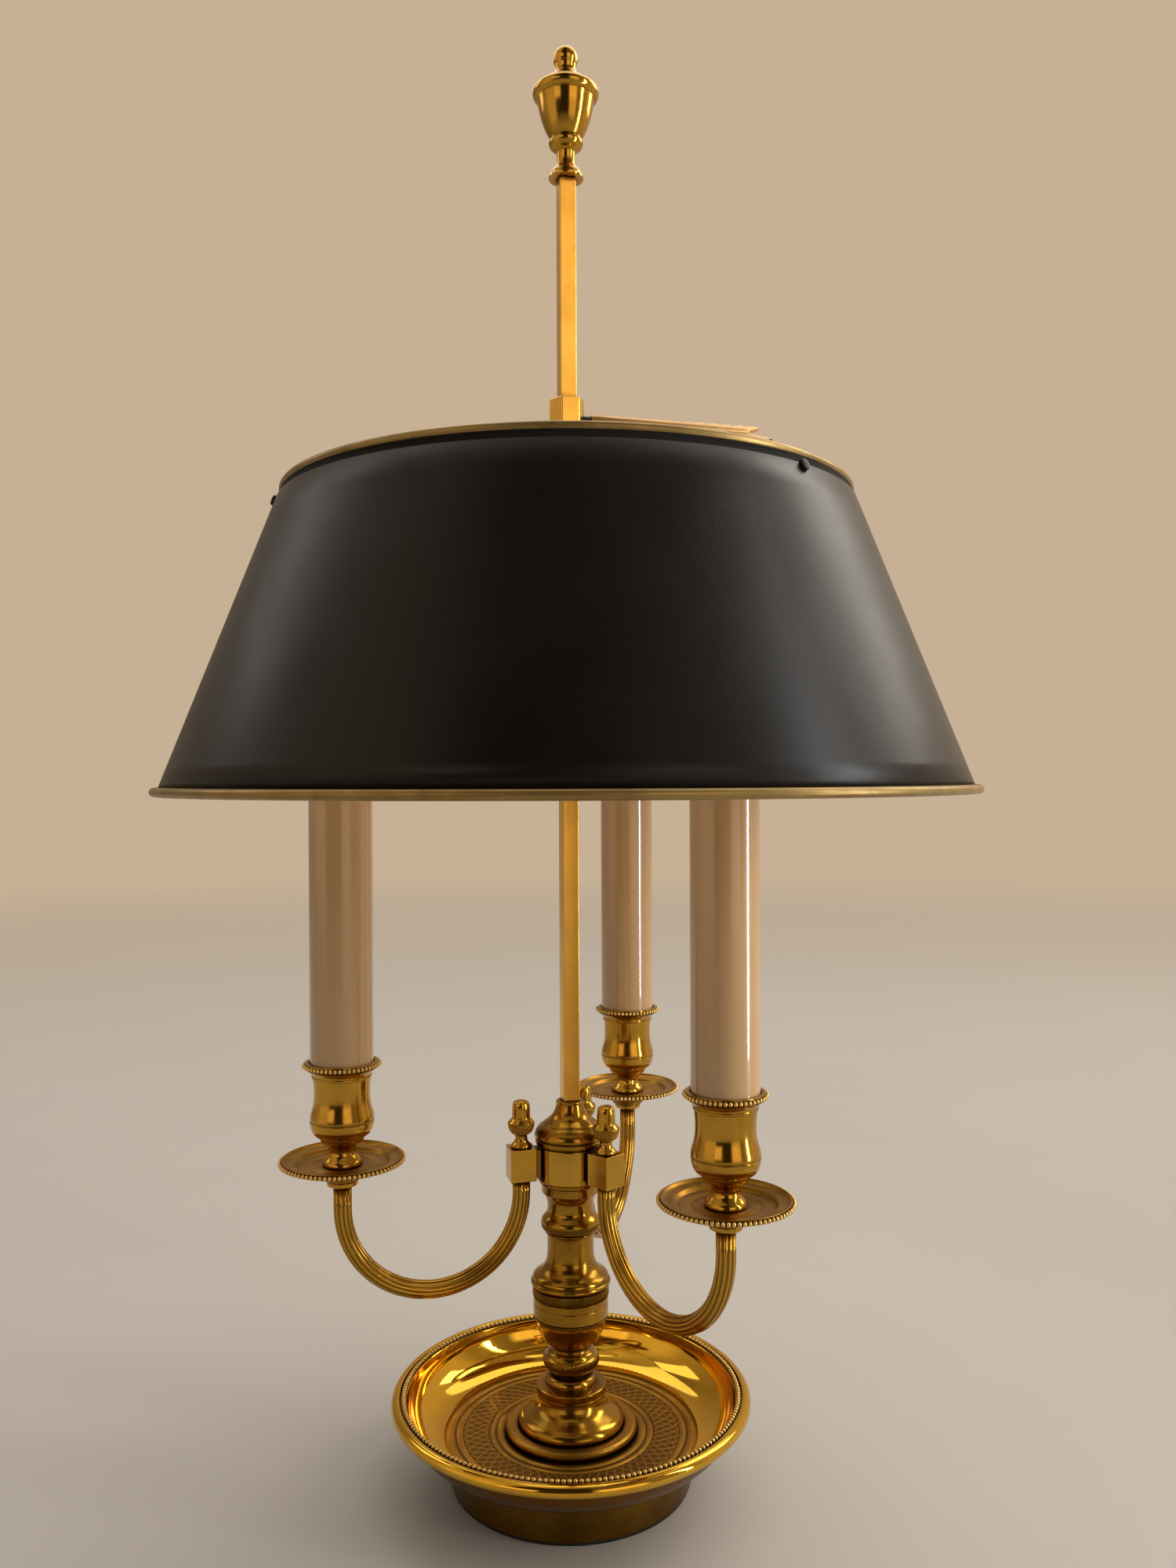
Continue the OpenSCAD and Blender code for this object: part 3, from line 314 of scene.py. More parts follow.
def makeGoldPaint():
    made, tree, skin = newFinish("gold_paint", Metallic=0.75)
    where = objectSpace(tree)
    lost = placeGroup(tree, chips)["Chip"]
    aged = placeGroup(tree, tarnish_and_shade, Bright=(0.33, 0.235, 0.085, 1), Dark=(0.10, 0.06, 0.02, 1), Hollows=0.4,
                      Patches=0.5, Polish=0.34, Dullness=0.5)
    feed(tree, skin, "Base Color", blendColours(tree, lost, aged["Color"], (0.012, 0.009, 0.006, 1)))
    feed(tree, skin, "Roughness", aged["Roughness"])
    lumps = sums(tree, "SUBTRACT", cloud(tree, where, 700, 3, 0.6), lost)
    raiseSkin(tree, skin, lumps, 0.06, 0.7)
    return made


def makeCandle():
    # glossy lacquered card: soft cloudy cream with a pink cast and faint upright streaks, painted darker than
    # the card itself as the shade of the lampshade above
    made, tree, skin = newFinish("candle_cream", Coat_Weight=1.0, Coat_Roughness=0.04, Coat_IOR=1.6)
    skin.inputs["Subsurface Weight"].default_value = 0.06
    skin.inputs["Subsurface Radius"].default_value = (0.004, 0.002, 0.001)
    where = objectSpace(tree)
    soft = spread(tree, cloud(tree, where, 14, 2, 0.5, stretch=(1, 1, 0.4)), 0.35, 0.65)
    # painted shade: both creams are darker than the card's own colour, for the shade the lampshade casts on
    # the sleeve
    cream = blendColours(tree, soft, (0.55, 0.33, 0.145, 1), (0.48, 0.275, 0.11, 1))
    streak = spread(tree, cloud(tree, where, 700, 2, 0.5, stretch=(1, 1, 0.015)), 0.45, 0.75, 0, 0.2)
    cream = blendColours(tree, streak, cream, (0.40, 0.23, 0.105, 1))
    feed(tree, skin, "Base Color", cream)
    feed(tree, skin, "Roughness", spread(tree, cloud(tree, where, 60, 2, 0.5), 0.3, 0.7, 0.2, 0.26))
    raiseSkin(tree, skin, cloud(tree, where, 60, 1, 0.5, stretch=(1, 1, 0.1)), 0.01, 0.3)
    return made


# first and second colour, size of the grain, roughness, metal, depth of the grain
plainTones = {
    "felt": ((0.006, 0.009, 0.005), (0.01, 0.014, 0.008), 2600, 0.95, 0.0, 0.15),
    "cast_iron": ((0.05, 0.048, 0.046), (0.09, 0.08, 0.07), 700, 0.7, 0.4, 0.15),
    "steel": ((0.45, 0.44, 0.42), (0.58, 0.57, 0.55), 900, 0.34, 1.0, 0.02),
    "black_steel": ((0.012, 0.012, 0.012), (0.03, 0.027, 0.024), 900, 0.42, 0.6, 0.02),
    "white_plastic": ((0.74, 0.72, 0.66), (0.8, 0.78, 0.73), 500, 0.42, 0.0, 0.02),
    "black_plastic": ((0.012, 0.012, 0.012), (0.022, 0.022, 0.022), 800, 0.45, 0.0, 0.02),
    "lead_sheath": ((0.25, 0.03, 0.02), (0.33, 0.05, 0.03), 600, 0.5, 0.0, 0.02),
    "cap_metal": ((0.55, 0.53, 0.48), (0.66, 0.63, 0.56), 900, 0.3, 1.0, 0.02),
}


def makePlain(name, first, second, scale, rough, metallic, bump):
    # a body colour that drifts to a second one, with its own grain
    made, tree, skin = newFinish(name, Metallic=metallic)
    where = objectSpace(tree)
    grain = cloud(tree, where, scale, 4, 0.6)
    drift = spread(tree, cloud(tree, where, scale / 12, 3, 0.5), 0.35, 0.65)
    mix = sums(tree, "MULTIPLY_ADD", grain, 0.5, times(tree, drift, 0.5))
    feed(tree, skin, "Base Color", blendColours(tree, mix, (*first, 1), (*second, 1)))
    feed(tree, skin, "Roughness", spread(tree, grain, 0.3, 0.7, rough - 0.05, rough + 0.06))
    raiseSkin(tree, skin, grain, bump, 0.7)
    return made


def makeGlass():
    made, tree, skin = newFinish("bulb_glass", Transmission_Weight=1.0, IOR=1.48)
    where = objectSpace(tree)
    haze = cloud(tree, where, 90, 3, 0.6)
    feed(tree, skin, "Base Color", blendColours(tree, haze, (0.99, 0.98, 0.95, 1), (0.95, 0.93, 0.88, 1)))
    feed(tree, skin, "Roughness", spread(tree, haze, 0.3, 0.7, 0.12, 0.26))
    return made


finishes = {name: makeBrass(name, values) for name, values in brassTones.items()}
finishes.update({name: makePlain(name, *values) for name, values in plainTones.items()})
finishes.update(candle_cream=makeCandle(), bulb_glass=makeGlass())


# turning, beading and fluting
def curve(points, steps):
    # an even curve through the points, as a template would be filed
    ends = [tuple(2 * a - b for a, b in zip(points[0], points[1]))] + list(points)
    ends.append(tuple(2 * a - b for a, b in zip(points[-1], points[-2])))
    line = []
    for a, b, c, d in zip(ends, ends[1:], ends[2:], ends[3:]):
        for step in range(steps):
            t = step / steps
            line.append(tuple(0.5 * (2 * q + (r - p) * t + (2 * p - 5 * q + 4 * r - s) * t * t
                                     + (3 * q - p - 3 * r + s) * t ** 3) for p, q, r, s in zip(a, b, c, d)))
    return line + [tuple(points[-1])]


def arc(centre, radius, start, end, steps):
    angles = [math.radians(start + (end - start) * i / steps) for i in range(steps + 1)]
    return [(centre[0] + radius * math.cos(a), centre[1] + radius * math.sin(a)) for a in angles]


def newMesh():
    # every mesh carries how deep each point lies in engraving or knurling, for the tarnish to settle there,
    # and where painted shade and painted reflection darken it
    bm = bmesh.new()
    bm.verts.layers.float.new("engraved_and_shaded")
    return bm


def engravedAndShaded(bm):
    return bm.verts.layers.float["engraved_and_shaded"]


def turned(bm, outline, steps):
    # outline: (radius, height) in mm. One that starts and ends on the axis is solid, others are rings
    solid = outline[0][0] == 0 and outline[-1][0] == 0
    before = set(bm.verts)
    points = [bm.verts.new((r * mm, 0, z * mm)) for r, z in outline]
    pairs = list(zip(points, points[1:])) + ([] if solid else [(points[-1], points[0])])
    edges = [bm.edges.new(pair) for pair in pairs]
    bmesh.ops.spin(bm, geom=points + edges, cent=(0, 0, 0), axis=(0, 0, 1), angle=turn, steps=steps,
                   use_merge=True)
    if solid:
        poles = [v for v in bm.verts if v not in before and abs(v.co.x) + abs(v.co.y) < 1e-7]
        bmesh.ops.remove_doubles(bm, verts=poles, dist=0.0005 * mm)
    return [v for v in bm.verts if v not in before]


def polar(v):
    return math.hypot(v.co.x, v.co.y) / mm, math.atan2(v.co.y, v.co.x), v.co.z / mm


def shiftOut(v, out):
    # moves a point away from the axis by out mm
    r = math.hypot(v.co.x, v.co.y)
    v.co.x *= 1 + out * mm / r
    v.co.y *= 1 + out * mm / r


def flute(bm, verts, low, high, minR, count, depth, fade, lean=0.0):
    # upright or leaning flutes cut into the outside of a band
    darkening = engravedAndShaded(bm)
    for v in verts:
        r, angle, z = polar(v)
        if low <= z <= high and r > minR:
            ease = min(1.0, (z - low) / fade, (high - z) / fade)
            wave = 0.5 - 0.5 * math.cos(count * angle + lean * z)
            shiftOut(v, -depth * wave * max(0.0, ease))
            v[darkening] = wave * max(0.0, ease)


def beadRow(bm, count, ringR, z, size):
    # one bead, and copies of it spun round the axis
    bead = bmesh.ops.create_uvsphere(bm, u_segments=8, v_segments=6, radius=size * mm,
                                     matrix=moved(ringR, 0, z))["verts"]
    darkening = engravedAndShaded(bm)
    for v in bead:  # tarnish and painted shade sit between the beads and behind them
        sideways, inward = abs(v.co.y) / (size * mm), (ringR * mm - v.co.x) / (size * mm)
        v[darkening] = max(0.0, min(1.0, max((sideways - 0.7) / 0.25, (inward - 0.5) / 0.4)))
    edges = {e for v in bead for e in v.link_edges}
    faces = {f for v in bead for f in v.link_faces}
    bmesh.ops.spin(bm, geom=bead + list(edges) + list(faces), cent=(0, 0, 0), axis=(0, 0, 1),
                   angle=turn * (count - 1) / count, steps=count - 1, use_duplicate=True)


def tarnishAndShadeSeat(bm, verts, minR, maxZ):
    # dark tarnish and painted shade on the seat behind a row of beads
    darkening = engravedAndShaded(bm)
    for v in verts:
        r, _, z = polar(v)
        if r > minR and z < maxZ:
            v[darkening] = 1.0


def block(bm, low, high, place):
    # a box between two corners, in mm
    size = [(b - a) * mm for a, b in zip(low, high)]
    middle = [(a + b) / 2 * mm for a, b in zip(low, high)]
    bmesh.ops.create_cube(bm, size=1, matrix=place @ Matrix.Translation(middle) @ Matrix.Diagonal((*size, 1)))


def rod(bm, radius, start, end):
    # an upright round bar between two heights, in mm
    middle = moved(0, 0, (start + end) / 2)
    bmesh.ops.create_cone(bm, cap_ends=True, segments=32, radius1=radius * mm, radius2=radius * mm,
                          depth=(end - start) * mm, matrix=middle)


def only(kind, geom):
    return [g for g in geom if isinstance(g, kind)]


def keep(bm, name, finish, body, slot, *stands, ease=0.2, place=None):
    # turns the mesh into a finished piece: sound normals, eased edges, its body and CAD nodes; the slot it is
    # given is not used
    bmesh.ops.recalc_face_normals(bm, faces=bm.faces)
    if place:
        bmesh.ops.transform(bm, matrix=place, verts=bm.verts)
    for face in bm.faces:
        face.smooth = True
    mesh = bpy.data.meshes.new(name)
    bm.to_mesh(mesh)
    bm.free()
    mesh.materials.append(finishes[finish])
    piece = bpy.data.objects.new(name, mesh)
    scene.collection.objects.link(piece)
    if ease:
        bevel = piece.modifiers.new("easedEdges", "BEVEL")
        bevel.width, bevel.segments = ease * mm, 2
        bevel.limit_method, bevel.angle_limit = "ANGLE", math.radians(32)
        bevel.harden_normals = True
    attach(piece, body)
    if stands:
        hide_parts(*stands)


# the dish
dish = {"bore": 5.1, "under": 18.5, "top": 20.5, "floorR": 56.5, "coveR": 17.5, "wall": 2.0, "lipR": 2.75,
        "lipAt": (78.25, 36.75), "floorGap": 0.7, "steps": 224}
dishPearls = {"count": 200, "ringR": 75.45, "z": 38.85, "size": 1.18}
# the turned floor as (radius, height over the floor): rings, and grooves from which the soil isn't wiped
floorLines = [(28, -0.5), (28, 0), (33.6, 0), (33.9, -0.28), (34.5, -0.28), (34.8, 0), (36.9, 0),
    (37.2, -0.42), (49, -0.42), (49.3, 0), (51.6, 0), (51.9, -0.28), (52.8, -0.28), (53.1, 0), (57.4, 0.03),
    (57.4, -0.5)]
floorSoil = {"below": 0.2, "amount": 0.8}
# the engraved lattice between two of the rings
hatch = {"inner": 37.3, "outer": 48.9, "middle": 43.1, "lines": 62, "lean": 0.165, "depth": 0.22,
         "width": 0.15, "rowPitch": 0.42, "steps": 768, "start": 0.25, "sunk": 0.08, "under": 0.5,
         "soil": 0.75}


def makeDish():
    coveZ = dish["top"] + dish["coveR"]
    centre = (dish["floorR"], coveZ)
    lipLow = dish["lipAt"][1] - dish["lipR"]
    outline = [(dish["bore"], dish["under"])]
    outline += arc(centre, dish["coveR"] + dish["wall"], -90, -12.5, 16)
    outline += arc(dish["lipAt"], dish["lipR"], -90, 110, 18)
    outline += [(77.0, 38.3), (76.7, 38.0), (76.4, 38.25), (74.3, 38.35)]
    outline += arc(centre, dish["coveR"], 0, -90, 26)
    sunk = dish["top"] - dish["floorGap"]
    outline += [(dish["floorR"] - 0.2, sunk), (dish["bore"], sunk)]
    bm = newMesh()
    verts = turned(bm, outline, dish["steps"])
    # painted reflection: the outer wall below the lip is darkened to stand for a dark table mirrored in it
    darkening = engravedAndShaded(bm)
    for v in verts:
        r, _, z = polar(v)
        fromCentre = math.hypot(r - dish["floorR"], z - coveZ)
        if z < lipLow and r > dish["floorR"] + 2 and fromCentre > dish["coveR"] + dish["wall"] / 2:
            v[darkening] = 1.0
    keep(bm, "dish_bowl", "mirror_brass", "lamp", "polished_brass", "dish", ease=0.12)

    bm = newMesh()
    beadRow(bm, **dishPearls)
    keep(bm, "dish_pearls", "pearl_brass", "lamp", "polished_brass", ease=0)

    top = dish["top"]
    bm = newMesh()
    verts = turned(bm, [(r, top + z) for r, z in floorLines], dish["steps"])
    darkening = engravedAndShaded(bm)
    for v in verts:
        v[darkening] = floorSoil["amount"] if v.co.z < (top - floorSoil["below"]) * mm else 0.0
    inner, outer, under = hatch["inner"], hatch["outer"], top - hatch["under"]
    rows = int((outer - inner) / hatch["rowPitch"])
    plate = [(inner + (outer - inner) * i / rows, top - hatch["sunk"]) for i in range(rows + 1)]
    for v in turned(bm, [(inner, under)] + plate + [(outer, under)], hatch["steps"]):
        r, angle, z = polar(v)
        if z < under + 0.1:
            continue
        line = 0.0
        for way in (1, -1):
            slant = way * hatch["lean"] * (r - hatch["middle"])
            phase = (hatch["lines"] * angle / turn + slant + hatch["start"]) % 1.0
            line = max(line, 1 - min(phase, 1 - phase) / hatch["width"])
        v[darkening] = hatch["soil"] - hatch["soil"] * line
        v.co.z += hatch["depth"] * (line - 1) * mm
    keep(bm, "dish_floor", "satin_brass", "lamp", "polished_brass", ease=0)


makeDish()
print("dish done")

# the column, from the dish up: outlines in mm as (radius, height)
bore = 5.1


def ringed(low, outline, high):
    return [(bore, low)] + outline + [(bore, high)]


columnPieces = {
    "foot_ring": [(22, 20.5), (28.6, 20.5)] + arc((27.9, 22.35), 1.85, -70, 90, 10)
        + curve([(25.6, 24.2), (24.2, 23.9), (23.4, 23)], 3) + [(22, 22.6)],
    "bell_foot": ringed(22.2, [(23.2, 22.2), (23.2, 24.2)] + curve([(23.5, 24.3), (23.75, 25.1),
        (23.5, 26.3), (22.6, 27.7), (21, 28.9), (18.8, 30), (16.6, 31.3), (14.9, 33), (13.9, 35),
        (13.4, 37.3)], 6), 37.3),
    "cushion_collar": ringed(37.3, [(15, 37.3), (15.6, 37.5), (15.6, 38.3), (15.3, 38.5), (15.3, 38.8),
        (15.8, 39.1), (15.8, 41.5), (15.4, 41.9), (11.9, 42)] + curve([(11.6, 42.1), (11.75, 43.2),
        (11.5, 44.5), (10.7, 45.7), (9.5, 46.4), (8.9, 46.6)], 4), 46.6),
    "lower_knop": ringed(46.6, curve([(8.7, 46.6), (9, 47.6), (10.7, 48.7), (12.1, 50.2), (12.9, 52.4),
        (12.5, 54.2), (11.7, 54.9)], 6) + [(11.3, 55.3)] + curve([(11.2, 55.6), (10.4, 56.7), (9.2, 57.6),
        (8.8, 58.6)], 4), 58.6),
    "bowl_cup": ringed(58.6, curve([(8.9, 58.6), (9.2, 59.3), (10.4, 60.4), (11.3, 61.2)], 4)
        + [(11.3, 61.5)] + curve([(11.8, 61.6), (12.9, 62.8), (14.2, 65.2), (15.3, 67.9), (16.1, 70.3),
        (16.4, 71.8)], 5) + [(16, 72), (16, 73), (16.4, 73.3)], 73.3),
    "barrel": ringed(73.3, [(16.7, 73.3), (17, 73.6), (17, 78.4), (16.85, 78.55), (16.85, 78.75),
        (17, 78.9), (17, 81.8), (16.6, 82), (16.6, 86.5), (17, 86.8), (17.3, 87.1)]
        + arc((17, 88.25), 1.15, -70, 80, 8) + [(17, 89.7)] + curve([(17.3, 90.3), (16.9, 91.2),
        (15.9, 92.2), (14.2, 93.3), (12.7, 94.7), (11.7, 96.2), (11.3, 97)], 5), 97),
    "slim_shaft": ringed(97, curve([(11.3, 97), (10.9, 98.6), (10.6, 101), (10.5, 104), (10.55, 107.5),
        (10.8, 109.2), (11.1, 110.4)], 4), 110.4),
    "beaded_knop": ringed(110.4, arc((11.2, 110.9), 0.5, -80, 80, 6) + [(11.1, 111.5)]
        + curve([(12, 111.7), (12.9, 112.6), (13.4, 114.1), (13.3, 115.7), (12.7, 117.1), (11.5, 118.5),
        (10.7, 119.8), (10.4, 121.2), (10.4, 123.2), (10.7, 125), (11.5, 127), (12.3, 128.4)], 5)
        + [(12.9, 128.8), (13, 129.4), (13, 132.2), (13.3, 132.8), (14, 133.1), (14, 134.5)], 134.5),
    "hub_cap": ringed(150.5, [(14.9, 150.5), (14.9, 150.9), (15.5, 151), (15.8, 151.4), (15.8, 152.9),
        (15.5, 153.3), (15.25, 153.4), (15.25, 153.75)] + curve([(16, 153.9), (16.2, 154.6), (16, 155.7),
        (15.4, 157), (14.3, 158.3), (13.2, 159.2), (12.75, 159.45)], 4) + [(12.4, 159.5), (12.4, 159.75)]
        + curve([(12.3, 159.8), (11.8, 160.3), (10.6, 161.2), (9, 162.5), (7.8, 164), (6.9, 165.9),
        (6.4, 167.4), (6.2, 168.4)], 4) + [(6.1, 168.6), (6.3, 168.9), (6.3, 169.7), (6, 170), (3.6, 170),
        (3.6, 164)], 164),
}
bands = {
    "gadroons": {"low": 50.3, "high": 54.6, "minR": 11.0, "count": 78, "depth": 0.5, "lean": 1.3,
                 "fade": 0.9},
    "pearls": {"count": 96, "ringR": 16.15, "z": 72.5, "size": 0.5},
    "knurl": {"low": 82.0, "high": 86.5, "root": 16.2, "minR": 16.8, "radius": 17.15, "crown": 0.2,
              "count": 130, "depth": 0.4, "fade": 0.1},
    "reeding": {"low": 112.5, "high": 115.3, "minR": 12.6, "count": 96, "depth": 0.4, "lean": 0.0,
                "fade": 0.5},
}
fluted = {"lower_knop": bands["gadroons"], "beaded_knop": bands["reeding"]}
columnSteps, flutedSteps = 128, 384


def makeColumn():
    for name, outline in columnPieces.items():
        bm = newMesh()
        verts = turned(bm, outline, flutedSteps if name in fluted else columnSteps)
        if name in fluted:
            flute(bm, verts, **fluted[name])
        if name == "bowl_cup":
            beadRow(bm, **bands["pearls"])
        if name == "barrel":
            band = bands["knurl"]
            low, high, root, out = band["low"], band["high"], band["root"], band["radius"]
            grip = turned(bm, [(root, low + 0.1), (out, low + 0.15), (out + band["crown"], low + 0.6),
                               (out + band["crown"], high - 0.6), (out, high - 0.15), (root, high - 0.1)],
                          band["count"] * 4)
            flute(bm, grip, low, high, band["minR"], band["count"], band["depth"], fade=band["fade"])
        tone = "satin_brass" if name == "foot_ring" else "column_brass"
        keep(bm, name + "_turned", tone, "lamp", "column_brass", name, ease=0.15)


makeColumn()

hub = {"r": 15.2, "low": 134.5, "high": 150.5, "blockLow": 136.0, "blockHigh": 150.4, "blockW": 11.7,
       "blockEnd": 28.55, "webW": 8.0, "webStart": 10, "webBite": 5, "webInset": 1}


def makeHub():
    r, low, high = hub["r"], hub["low"], hub["high"]
    bm = newMesh()
    turned(bm, ringed(low, [(r - 0.6, low), (r, low + 0.6), (r, high - 0.5), (r - 0.4, high)], high),
           columnSteps)
    for light in lights.values():
        heading = turnedBy(light["block"])
        half, web = hub["blockW"] / 2, hub["webW"] / 2
        low, high, end, inset = hub["blockLow"], hub["blockHigh"], hub["blockEnd"], hub["webInset"]
        block(bm, (end - 2 * half, -half, low), (end, half, high), heading)
        block(bm, (hub["webStart"], -web, low + inset), (end - hub["webBite"], web, high - inset), heading)
    keep(bm, "hub_turned", "polished_brass", "lamp", "column_brass", "hub", ease=0.35)


makeHub()
print("column done")

# rod and finial
rodSize = {"w": 7.5, "low": 170, "high": 586.3, "facing": 15, "pinR": 3.0, "pinLength": 40, "tenonR": 3.5,
           "tenonLength": 8}
finialPieces = {
    "finial_collar": [(3, 586.3), (7.6, 586.3), (7.85, 586.5), (7.9, 587.2), (7.7, 587.5)]
        + curve([(7.5, 587.7), (7.1, 589), (6.2, 590.5), (5.2, 591.5)], 4) + [(5, 591.9)]
        + curve([(4.6, 592.2), (4.2, 593.8), (4.15, 596.2), (4.3, 598.6)], 4) + [(3, 598.6)],
    "finial_urn": [(3, 598.6)] + curve([(4.4, 598.6), (5.2, 599.4), (6.9, 600.5), (7.7, 601.9),
        (7.8, 603.2)], 4) + curve([(7.5, 603.8), (7.2, 604.4), (7.1, 604.8)], 2)
        + curve([(7.3, 605), (9.1, 608.2), (10.9, 612.8), (12.1, 617.4), (12.9, 621.7)], 6) + [(13, 622.2)]
        + arc((12.2, 625), 2.85, -75, 90, 14) + [(10.6, 627.6), (3, 627.6)],
    "finial_lid": [(0, 627.6), (11.6, 627.6)] + curve([(11.6, 628.3), (9.9, 630.2), (7.2, 632),
        (5.4, 633.6), (4.75, 635.4), (4.8, 636.8)], 5) + arc((0, 640.7), 5.6, -30, 84, 20) + [(0, 646.3)],
}


def makeRod():
    facing = turnedBy(rodSize["facing"])
    half = rodSize["w"] / 2
    bm = newMesh()
    block(bm, (-half, -half, rodSize["low"]), (half, half, rodSize["high"]), facing)
    rod(bm, rodSize["pinR"], rodSize["high"] - 1, rodSize["high"] + rodSize["pinLength"])
    rod(bm, rodSize["tenonR"], rodSize["low"] - rodSize["tenonLength"], rodSize["low"] + 1)
    keep(bm, "square_rod_drawn", "plain_brass", "lamp", "plain_brass", "square_rod", ease=0.45)
    for name, outline in finialPieces.items():
        bm = newMesh()
        turned(bm, outline, 112)
        keep(bm, name + "_turned", "polished_brass", "lamp", "polished_brass", name, ease=0.12)


makeRod()
print("rod and finial done")

# the three lights: arm, nut, pan, cup and sleeve
arm = {"r": 4.0, "bendZ": 130.4, "top": 136.0, "riserTop": 140.9, "reeds": 12, "groove": 0.55,
       "bendSteps": 44}
stem = {"radius": 3.9, "start": 142.5, "end": 168.0}
collarOutline = [(3, 140.7), (6.3, 140.7), (6.7, 141.1), (6.7, 142.6), (6.3, 143.1), (3, 143.1)]
nutOutline = ([(0, 150.5), (4.55, 150.5), (4.7, 150.8), (4.65, 151.4)] + curve([(4.3, 151.9), (3.3, 152.9),
    (2.8, 154.1), (2.8, 155.3), (3.2, 156.1)], 4) + curve([(3.6, 156.4), (4.7, 157.2), (5.4, 158.4),
    (5.9, 159.8), (6.05, 161), (6, 161.7)], 6) + [(5.7, 162), (4.5, 163.2), (4.15, 163.6)]
    + curve([(4.1, 163.8), (4.05, 166.5), (3.95, 168.6), (3.65, 170.2), (2.8, 171.1), (1.4, 171.45),
    (0, 171.5)], 4))
nutGrip = {"low": 156.7, "high": 161.6, "minR": 3.4, "around": 13, "rise": 3.1, "width": 0.42, "depth": 0.4}
panOutline = ([(4.1, 143.2), (7.6, 143.2)] + curve([(8, 143.5), (8, 144.8), (8.4, 145.7), (10.5, 146.5),
    (14.5, 147.4), (19, 148.5), (22.5, 149.4), (24.6, 150)], 4) + [(25.3, 150.4), (25.6, 150.8),
    (25.6, 152.1), (25.8, 152.4), (25.6, 152.75), (25.1, 152.7)] + curve([(24.8, 152.3), (23.9, 151.6),
    (22.9, 151.3), (20.6, 151.2)], 4) + [(20.1, 150.9), (19.6, 150.1)] + curve([(19.2, 149.7),
    (18.4, 149.5), (14.2, 149.4)], 3) + [(13.9, 149.25), (13.5, 149.25), (13.2, 149.4), (4.1, 149.4)])
cupOutline = ([(4.1, 149.4), (8.1, 149.4)] + curve([(8.45, 149.7), (8.45, 150.4), (8, 151.6), (6.9, 152.9),
    (6, 154.2), (5.65, 155.6), (5.8, 157.2), (6.9, 158.6)], 4) + [(7.2, 158.8)]
    + curve([(7.6, 158.9), (8.9, 159.8), (9.9, 161.7)], 3) + [(9.9, 162.1)]
    + curve([(10.5, 162.2), (12, 163.2), (13.1, 165), (13.65, 167.2), (13.75, 168.7)], 4)
    + [(13.4, 168.9), (13.4, 169.3), (13.75, 169.5)] + curve([(13.75, 170.3), (13.4, 172), (12.7, 174.4),
    (12.15, 177.2), (12, 180), (12.05, 183), (12.3, 185.8), (12.6, 187.4)], 4)
    + [(12.9, 187.6), (12.9, 188.3), (12.7, 188.5)] + curve([(12.7, 188.7), (13.3, 189.8), (14.3, 190.8),
    (15.4, 191.5)], 3) + [(15.4, 191.8), (15.3, 192.2), (15.3, 193.7), (15.7, 193.9), (15.6, 194.2),
    (14.1, 194.2), (13.9, 193.9), (13.8, 190.2), (10.1, 190.2), (10.1, 166), (4.1, 166)])
sleeveOutline = [(12.1, 190.2), (13.6, 190.2), (13.6, 334.6), (13.2, 335.1), (12.5, 335.1), (12.1, 334.7)]
beadwork = {
    "pan": {"count": 82, "ringR": 26.3, "z": 151.45, "size": 0.93},
    "cup": {"count": 52, "ringR": 16.0, "z": 192.95, "size": 0.93},
}
seatTarnishAndShade = {
    "pan": {"minR": 25.2, "maxZ": 152.2},
    "cup": {"minR": 14.9, "maxZ": 193.8},
}


def reedOut(angle):
    # how far a point round the arm stands in from the reeds' crowns
    share = (arm["reeds"] * angle / turn) % 1.0
    return -arm["groove"] * (1 - math.sqrt(max(0.0, 1 - (2 * share - 1) ** 2))) ** 0.8


def makeArm(name):
    bm = newMesh()
    ring = bmesh.ops.create_circle(bm, cap_ends=False, radius=arm["r"] * mm,
                                   segments=arm["reeds"] * 6)["verts"]
    darkening = engravedAndShaded(bm)
    for v in ring:
        out = reedOut(math.atan2(v.co.y, v.co.x))
        shiftOut(v, out)
        v[darkening] = min(1.0, -1.3 * out / arm["groove"])
    bmesh.ops.translate(bm, verts=ring, vec=(0, 0, arm["top"] * mm))
    edges = list({e for v in ring for e in v.link_edges})
    # the leg, from the block down to the bend
    grown = bmesh.ops.extrude_edge_only(bm, edges=edges)["geom"]
    verts = only(bmesh.types.BMVert, grown)
    edges = [e for e in only(bmesh.types.BMEdge, grown) if all(v in verts for v in e.verts)]
    for v in verts:
        v.co.z = arm["bendZ"] * mm
    bend = bmesh.ops.spin(bm, geom=verts + edges, cent=(armSpan / 2 * mm, 0, arm["bendZ"] * mm),
                          axis=(0, -1, 0), angle=math.pi, steps=arm["bendSteps"])["geom_last"]
    grown = bmesh.ops.extrude_edge_only(bm, edges=only(bmesh.types.BMEdge, bend))["geom"]
    for v in only(bmesh.types.BMVert, grown):
        v.co.z = arm["riserTop"] * mm
    bmesh.ops.remove_doubles(bm, verts=bm.verts, dist=0.0005 * mm)
    bmesh.ops.holes_fill(bm, edges=[e for e in bm.edges if e.is_boundary], sides=0)
    keep(bm, f"arm_{name}_reeded", "polished_brass", f"light_{name}", "polished_brass", f"arm_{name}",
         ease=0, place=legPlace(name))
    bm = newMesh()
    turned(bm, collarOutline, 64)
    rod(bm, **stem)
    keep(bm, f"arm_{name}_collar", "polished_brass", f"light_{name}", "polished_brass", ease=0.15,
         place=candlePlace(name))


